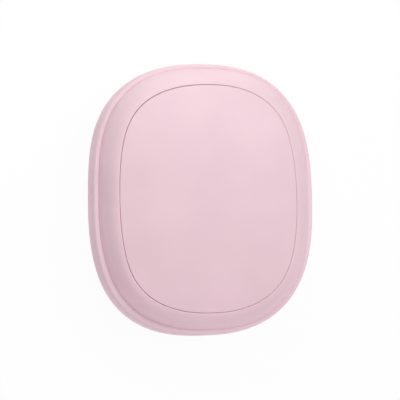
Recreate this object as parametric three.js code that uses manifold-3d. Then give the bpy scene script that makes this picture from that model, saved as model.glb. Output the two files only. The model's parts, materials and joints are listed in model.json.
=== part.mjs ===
// Rechargeable hand warmer, a palm-size pebble that lies on its rear plate.
// Millimetres. +X is its width, +Y its length, +Z points up through the front plate.
// The origin is the middle of the rear plate's flat resting face.

import * as THREE from 'three';
import { mergeVertices } from 'three/addons/utils/BufferGeometryUtils.js';
import Module from 'manifold-3d';

const wasm = await Module();
wasm.setup();

// Cells, which set the size of everything round them
const cellRadius = 9.1;
const cellLength = 65;
const cellSpacing = 1;
const cellGap = 0.15;
const cellButtonRadius = 3.2;
const cellButtonRise = 1;
const cellGrooveDepth = 0.5;
const cellGrooveWidth = 1.2;
const cellGrooveFromEnd = 3.4;
const cellEdge = 0.8;

// Room round the cells, out to the widest outline
const sideBay = 19.05;
const topBay = 11.8;
const portBay = 13.2;
const outlinePower = 2.6;

// Plates, seams and shells
const plateRim = 1.2;
const frontCrown = 1.8;
const frontCrownPower = 2.4;
const rearCrown = 1.3;
const rearFlatShare = 0.6;
const seamInset = 8.3;
const seamGap = 0.3;
const seamEdge = 0.25;
const shellWall = 1.8;
const widestDrop = 0.5;
const flankRise = 6;
const domeShoulderInset = 2.4;
const crownSlope = 0.17;
const lipTaper = 0.8;
const lipFillet = 0.4;
const lipInset = 2.45;
const lipGap = 0.3;
const lipDepth = 2.5;
const flange = 1.2;
const flangeWidth = 2.5;

// Heater stack
const adhesive = 0.25;
const adhesiveMargin = 0.15;
const film = 0.2;
const filmMargin = 1.5;
const track = 0.1;
const trackWidth = 1.2;
const trackRuns = 10;
const trackFromHolder = 0.85;
const trackMargin = 2.5;
const foamGap = 0.05;
const rearFoam = 1.1;
const frontFoam = 1.15;
const frontFoamGap = 0.2;
const foamEdge = 1.2;

// Cell holder and strips
const holderWall = 0.8;
const holderRib = 1.4;
const holderRise = 7;
const holderCorner = 4.4;
const holderPocket = 0.25;
const holderFoot = 1.6;
const stripThickness = 0.2;
const stripHeight = 7;
const stripOverlap = 7;
const stripGap = 0.1;

// Bosses and screws
const bossRadius = 2.8;
const bossInset = 11.5;
const bossGap = 0.3;
const bossJoint = 6.25;
const screwRadius = 1;
const screwLength = 10;
const screwHeadRadius = 1.9;
const screwHeadHeight = 1.3;
const screwRecessRadius = 2.1;
const screwRecess = 3.2;
const screwRunning = 0.1;
const screwTipRoom = 1;
const screwSocketRadius = 0.9;
const screwSocketDepth = 0.7;
const boardScrewLength = 5;
const postRadius = 2.2;

// Main board
const boardThickness = 1.2;
const boardGap = 0.3;
const boardInset = 4.4;
const boardMargin = 1.8;
const boardHole = 0.4;
const sidePostFromFlank = 10.75;
const sidePostFromSwitch = 6.3;
const portPostShare = 0.592;
const portPostRoom = 1.8;

// Charging socket
const portDrop = 1.7;
const socketWidth = 8.94;
const socketHeight = 3.2;
const socketLength = 7.35;
const socketWall = 0.3;
const socketInset = 0.9;
const socketFloor = 1.2;
const socketFit = 0.1;
const tongueWidth = 6.7;
const tongueHeight = 0.7;
const tongueInset = 0.7;
const portClearance = 0.35;

// Power button and its switch
const buttonLength = 14;
const buttonHeight = 5;
const buttonTravel = 0.5;
const buttonClearance = 0.2;
const buttonFlange = 0.8;
const buttonFlangeRim = 1;
const buttonSeatGap = 0.9;
const buttonEdge = 0.3;
const buttonStem = 1.4;
const stemRadius = 1.2;
const plungerRadius = 0.8;
const plungerReach = 0.9;
const plungerDepth = 0.9;
const plungerGap = 0.1;
const switchWidth = 6;
const switchDepth = 3.4;
const switchHeight = 3.4;
const switchEdge = 0.3;

// Status lamps and light guide
const lampCount = 4;
const lampPitch = 3;
const lampStart = -11;
const lampLength = 2;
const lampWidth = 1.25;
const lampHeight = 0.7;
const lampEdge = 0.1;
const guideFromFlank = 8.55;
const guideDepth = 2;
const guideBar = 1.4;
const guideGap = 0.2;
const guideEndRoom = 1.2;
const pinRadius = 0.75;
const pinClearance = 0.15;
const pinRecess = 0.1;
const pinSink = 0.5;

// Parts on the board
const chipLead = 0.35;
const chargeChipLength = 4.8;
const chargeChipWidth = 4;
const chargeChipHeight = 1.2;
const chargeChipRoom = 1.3;
const chargeChipShare = 0.49;
const controlChipLength = 6;
const controlChipWidth = 5;
const controlChipHeight = 1.4;
const inductorLength = 6;
const inductorHeight = 3.4;
const inductorCorner = 1.5;
const transistorLength = 2.9;
const transistorWidth = 1.6;
const transistorHeight = 1;
const transistorPitch = 3.8;
const capacitorLength = 3.2;
const capacitorWidth = 1.6;
const capacitorHeight = 1.4;
const capacitorPitch = 2.6;
const capacitorRoom = 0.65;
const stackRoom = 4.5;
const partGap = 0.8;
const connectorLength = 6;
const connectorWidth = 4.2;
const connectorHeight = 3.6;
const connectorRoom = 1.9;
const connectorFromEnd = 6.6;
const connectorWall = 0.6;

// Leads and thermistor
const leadRadius = 0.6;
const leadPitch = 2.2;
const leadEndGap = 0.3;
const leadSlack = 1.6;
const leadRoom = 2.55;
const leadStripGap = 0.8;
const positiveLeadInset = 1.53;
const cellLeadSlack = 2;
const beadRadius = 0.9;
const beadLength = 2.6;
const legRadius = 0.25;
const legSpread = 0.5;
const legSink = 0.4;

// Cuts run past the faces that they open by this much
const overrun = 1;

// Counts of facets
const outlineSteps = 44;
const bendSteps = 3;
const domeSteps = 6;
const innerSteps = 4;
const shareHalvings = 30;
const cornerSteps = 2;
const chamferSteps = 0.5;
const roundSteps = 16;
const smallRoundSteps = 10;
const roomSteps = 24;
const screwSocketSides = 6;
const beadRings = 3;
const wireSides = 6;
const shortWireSteps = 10;
const longWireSteps = 32;

// Sizes that follow from the ones above
const cellPitch = 2 * cellRadius + cellSpacing;
const cellBlockHalf = cellPitch / 2 + cellRadius;
const halfWidth = cellBlockHalf + sideBay;
const halfLength = (topBay + cellLength + portBay) / 2;
const cellEndTop = halfLength - topBay;
const cellEndPort = cellEndTop - cellLength;
const cellMiddleY = (cellEndTop + cellEndPort) / 2;

// Heights, from the resting face up
const rearSeamZ = rearCrown;
const rearPlateTop = rearSeamZ + plateRim;
const rearSeatZ = rearPlateTop + adhesive;
const rearFlangeTop = rearSeatZ + flange;
const rearFilmTop = rearPlateTop + film;
const rearTrackTop = rearFilmTop + track;
const rearFoamZ = rearTrackTop + foamGap;
const rearFoamTop = rearFoamZ + rearFoam;
const cellAxisZ = rearFoamTop + cellGap + cellRadius;
const cellTopZ = cellAxisZ + cellRadius;
const frontFoamZ = cellTopZ + frontFoamGap;
const frontFoamTop = frontFoamZ + frontFoam;
const frontTrackZ = frontFoamTop + foamGap;
const frontFilmZ = frontTrackZ + track;
const frontPlateZ = frontFilmZ + film;
const frontSeatZ = frontPlateZ - adhesive;
const frontFlangeZ = frontSeatZ - flange;
const frontSeamZ = frontPlateZ + plateRim;
const widestZ = cellAxisZ - widestDrop;
const lipZ = widestZ + flankRise;
const portZ = widestZ - portDrop;
const boardTopZ = portZ - socketHeight / 2;
const boardZ = boardTopZ - boardThickness;
const bossJointZ = rearSeatZ + bossJoint;
const plateInset = seamInset + seamGap;
const flangeInset = seamInset + flangeWidth;
const filmInset = flangeInset + filmMargin;

// Colours and finishes
const shellPink = new THREE.MeshStandardMaterial({ color: '#ebcdd6', roughness: 0.6, metalness: 0 });
const platePink = new THREE.MeshStandardMaterial({ color: '#ebcdd6', roughness: 0.5, metalness: 0.1 });
const buttonPink = new THREE.MeshStandardMaterial({ color: '#e3bfca', roughness: 0.5, metalness: 0 });
const adhesiveBlack = new THREE.MeshStandardMaterial({ color: '#1c1c1f', roughness: 0.8, metalness: 0 });
const filmAmber = new THREE.MeshStandardMaterial({ color: '#b8641c', roughness: 0.35, metalness: 0 });
const trackCopper = new THREE.MeshStandardMaterial({ color: '#b87348', roughness: 0.4, metalness: 1 });
const foamGrey = new THREE.MeshStandardMaterial({ color: '#4a4c50', roughness: 0.95, metalness: 0 });
const cellBlue = new THREE.MeshStandardMaterial({ color: '#3f7fb5', roughness: 0.4, metalness: 0 });
const holderWhite = new THREE.MeshStandardMaterial({ color: '#e6e4de', roughness: 0.6, metalness: 0 });
const nickel = new THREE.MeshStandardMaterial({ color: '#c9c8c2', roughness: 0.35, metalness: 1 });
const boardGreen = new THREE.MeshStandardMaterial({ color: '#1f6b3f', roughness: 0.5, metalness: 0 });
const steel = new THREE.MeshStandardMaterial({ color: '#b9bcc0', roughness: 0.3, metalness: 1 });
const plasticBlack = new THREE.MeshStandardMaterial({ color: '#18191b', roughness: 0.5, metalness: 0 });
const ferriteGrey = new THREE.MeshStandardMaterial({ color: '#3b3b3e', roughness: 0.7, metalness: 0 });
const ceramicTan = new THREE.MeshStandardMaterial({ color: '#b59a72', roughness: 0.5, metalness: 0 });
const lampWhite = new THREE.MeshStandardMaterial({ color: '#f2efe2', roughness: 0.3, metalness: 0 });
const guideClear = new THREE.MeshStandardMaterial({ color: '#eceff2', roughness: 0.2, metalness: 0 });
const leadRed = new THREE.MeshStandardMaterial({ color: '#b3242a', roughness: 0.5, metalness: 0 });
const leadBlack = new THREE.MeshStandardMaterial({ color: '#1b1b1d', roughness: 0.5, metalness: 0 });
const leadWhite = new THREE.MeshStandardMaterial({ color: '#e9e7e1', roughness: 0.5, metalness: 0 });

const warmer = new THREE.Group();

function addPiece(name, geometry, material) {
  const piece = new THREE.Mesh(geometry, material);
  piece.name = name;
  warmer.add(piece);
  return piece;
}

// A closed geometry as a solid that can be joined and cut
function solidOf(geometry) {
  const bare = geometry.clone();
  bare.deleteAttribute('normal');
  bare.deleteAttribute('uv');
  const merged = mergeVertices(bare);
  const vertProperties = new Float32Array(merged.attributes.position.array);
  const triVerts = new Uint32Array(merged.index.array);
  return new wasm.Manifold(new wasm.Mesh({ numProp: 3, vertProperties, triVerts }));
}

// A solid back as a geometry
function geometryOf(solid) {
  const mesh = solid.getMesh();
  const geometry = new THREE.BufferGeometry();
  geometry.setAttribute('position', new THREE.BufferAttribute(new Float32Array(mesh.vertProperties), 3));
  geometry.setIndex(new THREE.BufferAttribute(new Uint32Array(mesh.triVerts), 1));
  geometry.computeVertexNormals();
  return geometry;
}

// The widest outline's parallel curve at an inset, at a turn about Z that starts at +X
function outlineAt(turn, inset) {
  const across = Math.cos(turn);
  const along = Math.sin(turn);
  const reach = Math.abs(across / halfWidth) ** outlinePower + Math.abs(along / halfLength) ** outlinePower;
  const radius = reach ** (-1 / outlinePower);
  const x = radius * across;
  const y = radius * along;
  const slopeX = Math.sign(x) * Math.abs(x / halfWidth) ** (outlinePower - 1) / halfWidth;
  const slopeY = Math.sign(y) * Math.abs(y / halfLength) ** (outlinePower - 1) / halfLength;
  const size = Math.hypot(slopeX, slopeY);
  return new THREE.Vector2(x - slopeX / size * inset, y - slopeY / size * inset);
}

// Where the outline at an inset has a given y, on its +X side, or a given x, on its +Y side
function outlineX(y, inset) {
  const shareUp = Math.abs(y) / (halfLength - inset);
  return (halfWidth - inset) * (1 - shareUp ** outlinePower) ** (1 / outlinePower);
}

function outlineY(x, inset) {
  const shareOut = Math.abs(x) / (halfWidth - inset);
  return (halfLength - inset) * (1 - shareOut ** outlinePower) ** (1 / outlinePower);
}

// One station of a pebble's profile: an inset, a height, and how far in towards the middle
function station(inset, z, scale = 1) {
  return { inset, z, scale };
}

// A closed body through the stations, which run up the outside. A ring's last station joins its
// first, and a plate's stations start and end in the middle, where the scale is zero.
function pebble(stations, isRing) {
  const rows = stations.length;
  const points = [];
  for (const row of stations) {
    for (let step = 0; step < outlineSteps; step += 1) {
      const spot = outlineAt(2 * Math.PI * step / outlineSteps, row.inset).multiplyScalar(row.scale);
      points.push(spot.x, spot.y, row.z);
    }
  }
  const faces = [];
  const lastRow = isRing ? rows : rows - 1;
  for (let row = 0; row < lastRow; row += 1) {
    const next = (row + 1) % rows;
    for (let step = 0; step < outlineSteps; step += 1) {
      const turn = (step + 1) % outlineSteps;
      const corners = [row * outlineSteps + step, row * outlineSteps + turn,
        next * outlineSteps + turn, next * outlineSteps + step];
      if (stations[row].scale > 0) {
        faces.push(corners[0], corners[1], corners[3]);
      }
      if (stations[next].scale > 0) {
        faces.push(corners[1], corners[2], corners[3]);
      }
    }
  }
  const geometry = new THREE.BufferGeometry();
  geometry.setAttribute('position', new THREE.Float32BufferAttribute(points, 3));
  geometry.setIndex(faces);
  return mergeVertices(geometry);
}

// A flat plate that follows the outline at an inset
function sheet(inset, low, high) {
  return pebble([station(inset, low, 0), station(inset, low), station(inset, high), station(inset, high, 0)]);
}

// A box from its lowest corner to its highest
function block(lowX, lowY, lowZ, highX, highY, highZ) {
  const box = new THREE.BoxGeometry(highX - lowX, highY - lowY, highZ - lowZ);
  return box.translate((lowX + highX) / 2, (lowY + highY) / 2, (lowZ + highZ) / 2);
}

// An upright round bar between two heights
function bar(radius, x, y, low, high, sides = smallRoundSteps) {
  const round = new THREE.CylinderGeometry(radius, radius, high - low, sides);
  return round.rotateX(Math.PI / 2).translate(x, y, (low + high) / 2);
}

// A rectangle with rounded corners, centred on the origin
function roundedShape(width, height, corner) {
  const right = width / 2;
  const top = height / 2;
  const shape = new THREE.Shape();
  shape.moveTo(right - corner, -top);
  shape.absarc(right - corner, corner - top, corner, -Math.PI / 2, 0);
  shape.absarc(right - corner, top - corner, corner, 0, Math.PI / 2);
  shape.absarc(corner - right, top - corner, corner, Math.PI / 2, Math.PI);
  shape.absarc(corner - right, corner - top, corner, Math.PI, 3 * Math.PI / 2);
  shape.closePath();
  return shape;
}

// A shape drawn out by a depth, with an optional bevel that stays inside the shape and the depth
function drawnOut(shape, depth, bevel = 0, curveSegments = cornerSteps) {
  const settings = { depth: depth - 2 * bevel, curveSegments, bevelEnabled: bevel > 0 };
  if (bevel > 0) {
    const bevelSettings = { bevelThickness: bevel, bevelSize: bevel, bevelOffset: -bevel, bevelSegments: 1 };
    Object.assign(settings, bevelSettings);
  }
  return new THREE.ExtrudeGeometry(shape, settings).translate(0, 0, bevel);
}

// The same, drawn out along +X from a place: the shape's x runs along Y, and its y along Z
function drawnAlongX(shape, fromX, toX, y, z, bevel = 0) {
  return drawnOut(shape, toX - fromX, bevel).rotateX(Math.PI / 2).rotateZ(Math.PI / 2).translate(fromX, y, z);
}

// The same, drawn out along +Y from a place: the shape's x runs along X, and its y along Z
function drawnAlongY(shape, fromY, toY, x, z, bevel = 0) {
  return drawnOut(shape, toY - fromY, bevel).rotateX(Math.PI / 2).rotateZ(Math.PI).translate(x, fromY, z);
}

// A wire through points, with flat ends
function wire(points, radius, steps) {
  const path = new THREE.CatmullRomCurve3(points, false, 'centripetal');
  const section = new THREE.Shape();
  section.absarc(0, 0, radius, 0, 2 * Math.PI);
  return new THREE.ExtrudeGeometry(section, {
    steps, extrudePath: path, bevelEnabled: false, curveSegments: wireSides / 2,
  });
}

// Where the four case screws stand, and the three board screws
const stripRoom = stripThickness + 2 * stripGap;
const pocketLength = cellLength + 2 * stripRoom;
const holderLength = pocketLength + 2 * holderWall;
const holderHalf = cellBlockHalf + holderPocket + holderWall;
const besideX = holderHalf + boardGap;
const besideY = cellMiddleY - holderLength / 2 - boardGap;
const boardEndY = boardInset - halfLength;
const bossX = holderHalf + bossGap + bossRadius;
const bossY = outlineY(bossX, bossInset);
const chargeChipX = socketWidth / 2 + chargeChipRoom + chargeChipLength / 2;
const sidePostX = halfWidth - sidePostFromFlank;
const sidePostY = switchWidth / 2 + sidePostFromSwitch;
const portPostX = chargeChipX + chargeChipLength / 2 + portPostRoom + postRadius;
const portPostY = boardEndY + portPostShare * (besideY - boardEndY);
const bossSpots = [[bossX, bossY], [-bossX, bossY], [-bossX, -bossY], [bossX, -bossY]];
const postSpots = [[sidePostX, sidePostY], [portPostX, portPostY], [-portPostX, portPostY]];

// A profile curve of the outer face, bent once, in insets and heights
function bend(fromInset, fromZ, cornerInset, cornerZ, toInset, toZ) {
  const from = new THREE.Vector2(fromInset, fromZ);
  const corner = new THREE.Vector2(cornerInset, cornerZ);
  return new THREE.QuadraticBezierCurve(from, corner, new THREE.Vector2(toInset, toZ));
}

function stationsAlong(curve, steps) {
  return curve.getPoints(steps).map((spot) => station(spot.x, spot.y));
}

// The inner face, one wall in from a profile curve
function insideAt(curve, share) {
  const spot = curve.getPoint(share);
  const along = curve.getTangent(share);
  return station(spot.x + along.y * shellWall, spot.y - along.x * shellWall);
}

// How far along a profile curve its inner face reaches a height
function shareInsideAt(curve, z) {
  let low = 0;
  let high = 1;
  for (let halving = 0; halving < shareHalvings; halving += 1) {
    const middle = (low + high) / 2;
    if (insideAt(curve, middle).z < z) {
      low = middle;
    } else {
      high = middle;
    }
  }
  return (low + high) / 2;
}

function stationsInside(curve, steps, fromShare, toShare) {
  const rows = [];
  for (let step = 0; step <= steps; step += 1) {
    rows.push(insideAt(curve, THREE.MathUtils.lerp(fromShare, toShare, step / steps)));
  }
  return rows;
}

// Rear shell, from the rear seam round the flank to the lip
const edgeInset = seamInset - seamEdge;
const rearCurve = bend(edgeInset, rearSeamZ, 0, rearSeamZ + crownSlope * edgeInset, 0, widestZ);
const shoulderZ = lipZ - lipFillet;
const flankCurve = bend(0, widestZ, 0, (widestZ + shoulderZ) / 2, lipTaper, shoulderZ);
const lipCurve = bend(lipTaper, shoulderZ, lipTaper, lipZ, lipTaper + lipFillet, lipZ);
const skirtZ = lipZ - lipDepth;

const buttonPill = roundedShape(buttonLength, buttonHeight, buttonHeight / 2);
const buttonHole = roundedShape(buttonLength + 2 * buttonClearance, buttonHeight + 2 * buttonClearance,
  buttonHeight / 2 + buttonClearance);
const portHole = roundedShape(socketWidth + 2 * portClearance, socketHeight + 2 * portClearance,
  socketHeight / 2 + portClearance);

function lampSpots() {
  return Array.from({ length: lampCount }, (unused, index) => lampStart - index * lampPitch);
}

function rearShell() {
  let shell = solidOf(pebble([
    station(seamInset, rearSeamZ + seamEdge),
    ...stationsAlong(rearCurve, domeSteps),
    ...stationsAlong(flankCurve, bendSteps).slice(1),
    ...stationsAlong(lipCurve, bendSteps).slice(1),
    station(lipInset - seamEdge, lipZ),
    station(lipInset, lipZ - seamEdge),
    station(lipInset, skirtZ),
    ...stationsInside(flankCurve, 1, shareInsideAt(flankCurve, skirtZ - lipFillet), 0),
    ...stationsInside(rearCurve, innerSteps, 1, shareInsideAt(rearCurve, rearFlangeTop)).slice(1),
    station(flangeInset, rearFlangeTop),
    station(flangeInset, rearSeatZ),
    station(seamInset, rearSeatZ),
  ], true));
  for (const [x, y] of bossSpots) {
    shell = shell.add(solidOf(bar(bossRadius, x, y, rearSeatZ, bossJointZ, roundSteps)));
  }
  for (const [x, y] of postSpots) {
    shell = shell.add(solidOf(bar(postRadius, x, y, rearFlangeTop - flange / 2, boardZ, roundSteps)));
  }
  for (const [x, y] of bossSpots) {
    const recess = bar(screwRecessRadius, x, y, rearSeatZ - overrun, rearSeatZ + screwRecess);
    shell = shell.subtract(solidOf(recess));
    const hole = bar(screwRadius + 2 * screwRunning, x, y, rearSeatZ, bossJointZ + overrun);
    shell = shell.subtract(solidOf(hole));
  }
  for (const [x, y] of postSpots) {
    const tip = boardTopZ - boardScrewLength;
    const hole = bar(screwRadius + screwRunning, x, y, tip - screwRunning, boardZ + overrun);
    shell = shell.subtract(solidOf(hole));
  }
  const wallX = halfWidth - shellWall - overrun;
  const hole = drawnAlongX(buttonHole, wallX, halfWidth + overrun, 0, portZ);
  shell = shell.subtract(solidOf(hole));
  const portFrom = -halfLength - overrun;
  const portTo = -halfLength + shellWall + overrun;
  shell = shell.subtract(solidOf(drawnAlongY(portHole, portFrom, portTo, 0, portZ)));
  for (const y of lampSpots()) {
    const reach = outlineX(y, shellWall) - overrun;
    const pin = new THREE.CylinderGeometry(pinRadius + pinClearance, pinRadius + pinClearance,
      halfWidth + overrun - reach, smallRoundSteps);
    pin.rotateZ(Math.PI / 2).translate((reach + halfWidth + overrun) / 2, y, portZ);
    shell = shell.subtract(solidOf(pin));
  }
  return geometryOf(shell);
}

// Front shell, the domed band from the lip's joint up to the front seam
const skirtInset = lipInset + lipGap;
const shoulderInset = skirtInset + domeShoulderInset;
const domeShoulderZ = frontSeamZ - crownSlope * (edgeInset - shoulderInset);
const domeCurve = bend(skirtInset, lipZ, shoulderInset, domeShoulderZ, edgeInset, frontSeamZ);

function frontShell() {
  let shell = solidOf(pebble([
    station(skirtInset, skirtZ),
    ...stationsAlong(domeCurve, domeSteps),
    station(seamInset, frontSeamZ - seamEdge),
    station(seamInset, frontSeatZ),
    station(flangeInset, frontSeatZ),
    station(flangeInset, frontFlangeZ),
    ...stationsInside(domeCurve, innerSteps, shareInsideAt(domeCurve, frontFlangeZ), 0),
    station(skirtInset + shellWall, skirtZ),
  ], true));
  for (const [x, y] of bossSpots) {
    shell = shell.add(solidOf(bar(bossRadius, x, y, bossJointZ, frontSeatZ, roundSteps)));
  }
  for (const [x, y] of bossSpots) {
    const tip = rearSeatZ + screwRecess + screwLength + screwTipRoom;
    shell = shell.subtract(solidOf(bar(screwRadius + screwRunning, x, y, bossJointZ - overrun, tip)));
  }
  return geometryOf(shell);
}

// Crowned heating plate that closes the front
const crownShares = [0.9, 0.75, 0.55, 0.3];

function frontPlate() {
  const edge = plateInset + seamEdge;
  const rings = crownShares.map((share) => (
    station(edge, frontSeamZ + frontCrown * (1 - share ** frontCrownPower), share)));
  return pebble([
    station(plateInset, frontPlateZ, 0),
    station(plateInset, frontPlateZ),
    station(plateInset, frontSeamZ - seamEdge),
    station(edge, frontSeamZ),
    ...rings,
    station(edge, frontSeamZ + frontCrown, 0),
  ]);
}

// Heating plate that closes the rear, flat in its middle where it lies on a table
const rearShares = [0.7, 0.8, 0.9];

function rearPlate() {
  const edge = plateInset + seamEdge;
  const rings = rearShares.map((share) => (
    station(edge, rearCrown * ((share - rearFlatShare) / (1 - rearFlatShare)) ** 2, share)));
  return pebble([
    station(edge, 0, 0),
    station(edge, 0, rearFlatShare),
    ...rings,
    station(edge, rearSeamZ),
    station(plateInset, rearSeamZ + seamEdge),
    station(plateInset, rearPlateTop),
    station(plateInset, rearPlateTop, 0),
  ]);
}

function adhesiveRing(low, high) {
  const outer = plateInset + adhesiveMargin;
  const inner = flangeInset - adhesiveMargin;
  return pebble([station(outer, low), station(outer, high), station(inner, high), station(inner, low)], true);
}

addPiece('rear_shell', rearShell(), shellPink);
addPiece('front_shell', frontShell(), shellPink);
addPiece('front_plate', frontPlate(), platePink);
addPiece('rear_plate', rearPlate(), platePink);
addPiece('front_plate_adhesive', adhesiveRing(frontSeatZ, frontPlateZ), adhesiveBlack);
addPiece('rear_plate_adhesive', adhesiveRing(rearPlateTop, rearSeatZ), adhesiveBlack);

// Heater films, each with one etched track that runs to and fro
function heaterTrack() {
  const inset = filmInset + trackMargin;
  const pitch = 2 * (holderHalf - trackFromHolder) / (trackRuns - 1);
  const path = [];
  for (let run = 0; run < trackRuns; run += 1) {
    const x = (run - (trackRuns - 1) / 2) * pitch;
    const reach = outlineY(x, inset);
    const side = run % 2 === 0 ? 1 : -1;
    path.push(new THREE.Vector2(x, -side * reach), new THREE.Vector2(x, side * reach));
  }
  const left = [];
  const right = [];
  path.forEach((spot, index) => {
    const before = path[Math.max(index - 1, 0)];
    const after = path[Math.min(index + 1, path.length - 1)];
    const into = spot.clone().sub(before).normalize();
    const out = after.clone().sub(spot).normalize();
    const across = (index === 0 ? out.clone() : into.clone());
    if (index > 0 && index < path.length - 1) {
      across.add(out).normalize();
    }
    const turnCosine = index > 0 ? across.dot(into) : 1;
    const half = trackWidth / 2 / turnCosine;
    left.push(new THREE.Vector2(spot.x - across.y * half, spot.y + across.x * half));
    right.push(new THREE.Vector2(spot.x + across.y * half, spot.y - across.x * half));
  });
  return drawnOut(new THREE.Shape([...left, ...right.reverse()]), track);
}

function foamPad(low, high) {
  const pad = solidOf(sheet(filmInset + foamEdge, low, high));
  const reach = cellBlockHalf - foamEdge;
  const cut = block(-reach, -halfLength, low - overrun, reach, halfLength, high + overrun);
  return geometryOf(pad.intersect(solidOf(cut)));
}

addPiece('front_heater_film', sheet(filmInset, frontFilmZ, frontPlateZ), filmAmber);
addPiece('front_heater_track', heaterTrack().translate(0, 0, frontTrackZ), trackCopper);
addPiece('front_foam_pad', foamPad(frontFoamZ, frontFoamTop), foamGrey);
addPiece('rear_heater_film', sheet(filmInset, rearPlateTop, rearFilmTop), filmAmber);
addPiece('rear_heater_track', heaterTrack().translate(0, 0, rearFilmTop), trackCopper);
addPiece('rear_foam_pad', foamPad(rearFoamZ, rearFoamTop), foamGrey);

// Lithium cells, side by side along Y, with their caps at the port end
function cell() {
  const grooveLow = cellLength - cellGrooveFromEnd;
  const shoulder = cellLength - cellButtonRise;
  const profile = [
    [0, 0], [cellRadius - cellEdge, 0], [cellRadius, cellEdge],
    [cellRadius, grooveLow - cellGrooveWidth],
    [cellRadius - cellGrooveDepth, grooveLow - cellGrooveWidth / 2],
    [cellRadius, grooveLow], [cellRadius, shoulder - cellEdge], [cellRadius - cellEdge, shoulder],
    [cellButtonRadius, shoulder], [cellButtonRadius, cellLength], [0, cellLength],
  ].map(([radius, height]) => new THREE.Vector2(radius, height));
  return new THREE.LatheGeometry(profile, roundSteps).rotateX(Math.PI);
}

for (const [name, side] of [['left', -1], ['right', 1]]) {
  const can = addPiece(`cell_${name}`, cell(), cellBlue);
  can.position.set(side * cellPitch / 2, cellEndTop, cellAxisZ);
}

// Holder, which rests on the rear shell's flange and carries the cells in its ribs
const holderTopZ = rearFlangeTop + holderRise;

const ribShare = 1 / 3;

function cellHolder() {
  const outline = roundedShape(2 * holderHalf, holderLength, holderCorner);
  const floor = drawnOut(outline, holderWall).translate(0, cellMiddleY, rearFlangeTop);
  const walls = roundedShape(2 * holderHalf, holderLength, holderCorner);
  walls.holes.push(roundedShape(2 * (holderHalf - holderWall), pocketLength, holderCorner - holderWall));
  const sides = drawnOut(walls, holderRise).translate(0, cellMiddleY, rearFlangeTop);
  let holder = solidOf(floor).add(solidOf(sides));
  const footHalf = cellPitch / 2 + holderFoot;
  const footReach = holderLength / 2 + holderFoot;
  holder = holder.add(solidOf(block(-footHalf, cellMiddleY - footReach, rearFlangeTop,
    footHalf, cellMiddleY + footReach, rearFlangeTop + holderWall)));
  for (const place of [-ribShare, 0, ribShare]) {
    const y = cellMiddleY + place * cellLength;
    holder = holder.add(solidOf(block(-cellBlockHalf - holderPocket - holderWall / 2, y - holderRib / 2,
      rearFlangeTop, cellBlockHalf + holderPocket + holderWall / 2, y + holderRib / 2, holderTopZ)));
  }
  for (const side of [-1, 1]) {
    const room = new THREE.CylinderGeometry(cellRadius + holderPocket, cellRadius + holderPocket,
      pocketLength, roomSteps);
    holder = holder.subtract(solidOf(room.translate(side * cellPitch / 2, cellMiddleY, cellAxisZ)));
  }
  return geometryOf(holder);
}

function cellStrip(fromY) {
  const shape = roundedShape(cellPitch + stripOverlap, stripHeight, stripHeight / 2);
  return drawnAlongY(shape, fromY, fromY + stripThickness, 0, cellAxisZ);
}

addPiece('cell_holder', cellHolder(), holderWhite);
addPiece('negative_strip', cellStrip(cellEndTop + stripGap), nickel);
addPiece('positive_strip', cellStrip(cellEndPort - stripGap - stripThickness), nickel);

// Main board, an L beside the cells and along the port end
const boardLeftEnd = -portPostX - postRadius - boardMargin;
const boardTopEnd = sidePostY + postRadius + boardMargin;

function mainBoard() {
  let board = solidOf(sheet(boardInset, boardZ, boardTopZ));
  const low = boardZ - overrun;
  const high = boardTopZ + overrun;
  board = board.subtract(solidOf(block(-halfWidth, besideY, low, besideX, halfLength, high)));
  board = board.subtract(solidOf(block(-halfWidth, -halfLength, low, boardLeftEnd, halfLength, high)));
  board = board.subtract(solidOf(block(-halfWidth, boardTopEnd, low, halfWidth, halfLength, high)));
  board = board.subtract(solidOf(bar(bossRadius + boardHole, bossX, -bossY, low, high, roundSteps)));
  for (const [x, y] of postSpots) {
    board = board.subtract(solidOf(bar(screwRadius + 2 * screwRunning, x, y, low, high)));
  }
  return geometryOf(board);
}

addPiece('main_board', mainBoard(), boardGreen);

// Screws: a shank up from the head's seat, with a six-sided socket in the head
function screw(length) {
  const body = solidOf(bar(screwRadius, 0, 0, (screwSocketDepth - screwHeadHeight) / 2, length));
  const head = solidOf(bar(screwHeadRadius, 0, 0, -screwHeadHeight, 0, roundSteps));
  const socket = bar(screwSocketRadius, 0, 0, -screwHeadHeight - overrun, screwSocketDepth - screwHeadHeight,
    screwSocketSides);
  return geometryOf(body.add(head).subtract(solidOf(socket)));
}

bossSpots.forEach(([x, y], index) => {
  addPiece(`case_screw_${index + 1}`, screw(screwLength).translate(x, y, rearSeatZ + screwRecess), steel);
});
postSpots.forEach(([x, y], index) => {
  const turned = screw(boardScrewLength).rotateX(Math.PI).translate(x, y, boardTopZ);
  addPiece(`board_screw_${index + 1}`, turned, steel);
});

// Charging socket at the port end: a folded shell, and an insulator that carries the tongue
const mouthY = -halfLength + socketInset;
const socketBackY = mouthY + socketLength;

function socketOutline(inset) {
  return roundedShape(socketWidth - 2 * inset, socketHeight - 2 * inset, socketHeight / 2 - inset);
}

function socketShell() {
  const outline = socketOutline(0);
  outline.holes.push(socketOutline(socketWall));
  return drawnAlongY(outline, mouthY, socketBackY, 0, portZ);
}

function socketTongue() {
  const floorFrom = socketBackY - socketFloor;
  const floor = drawnAlongY(socketOutline(socketWall + socketFit), floorFrom, socketBackY, 0, portZ);
  const tongue = block(-tongueWidth / 2, mouthY + tongueInset, portZ - tongueHeight / 2,
    tongueWidth / 2, socketBackY - socketFloor / 2, portZ + tongueHeight / 2);
  return geometryOf(solidOf(floor).add(solidOf(tongue)));
}

addPiece('socket_shell', socketShell(), steel);
addPiece('socket_tongue', socketTongue(), plasticBlack);

// Power button on the +X flank, and the switch that it presses
const flangeX = outlineX(buttonLength / 2 + buttonFlangeRim, shellWall) - buttonSeatGap;
const stemX = flangeX - buttonFlange - buttonStem;
const plungerX = stemX - plungerGap;
const switchX = plungerX - plungerReach;

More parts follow.
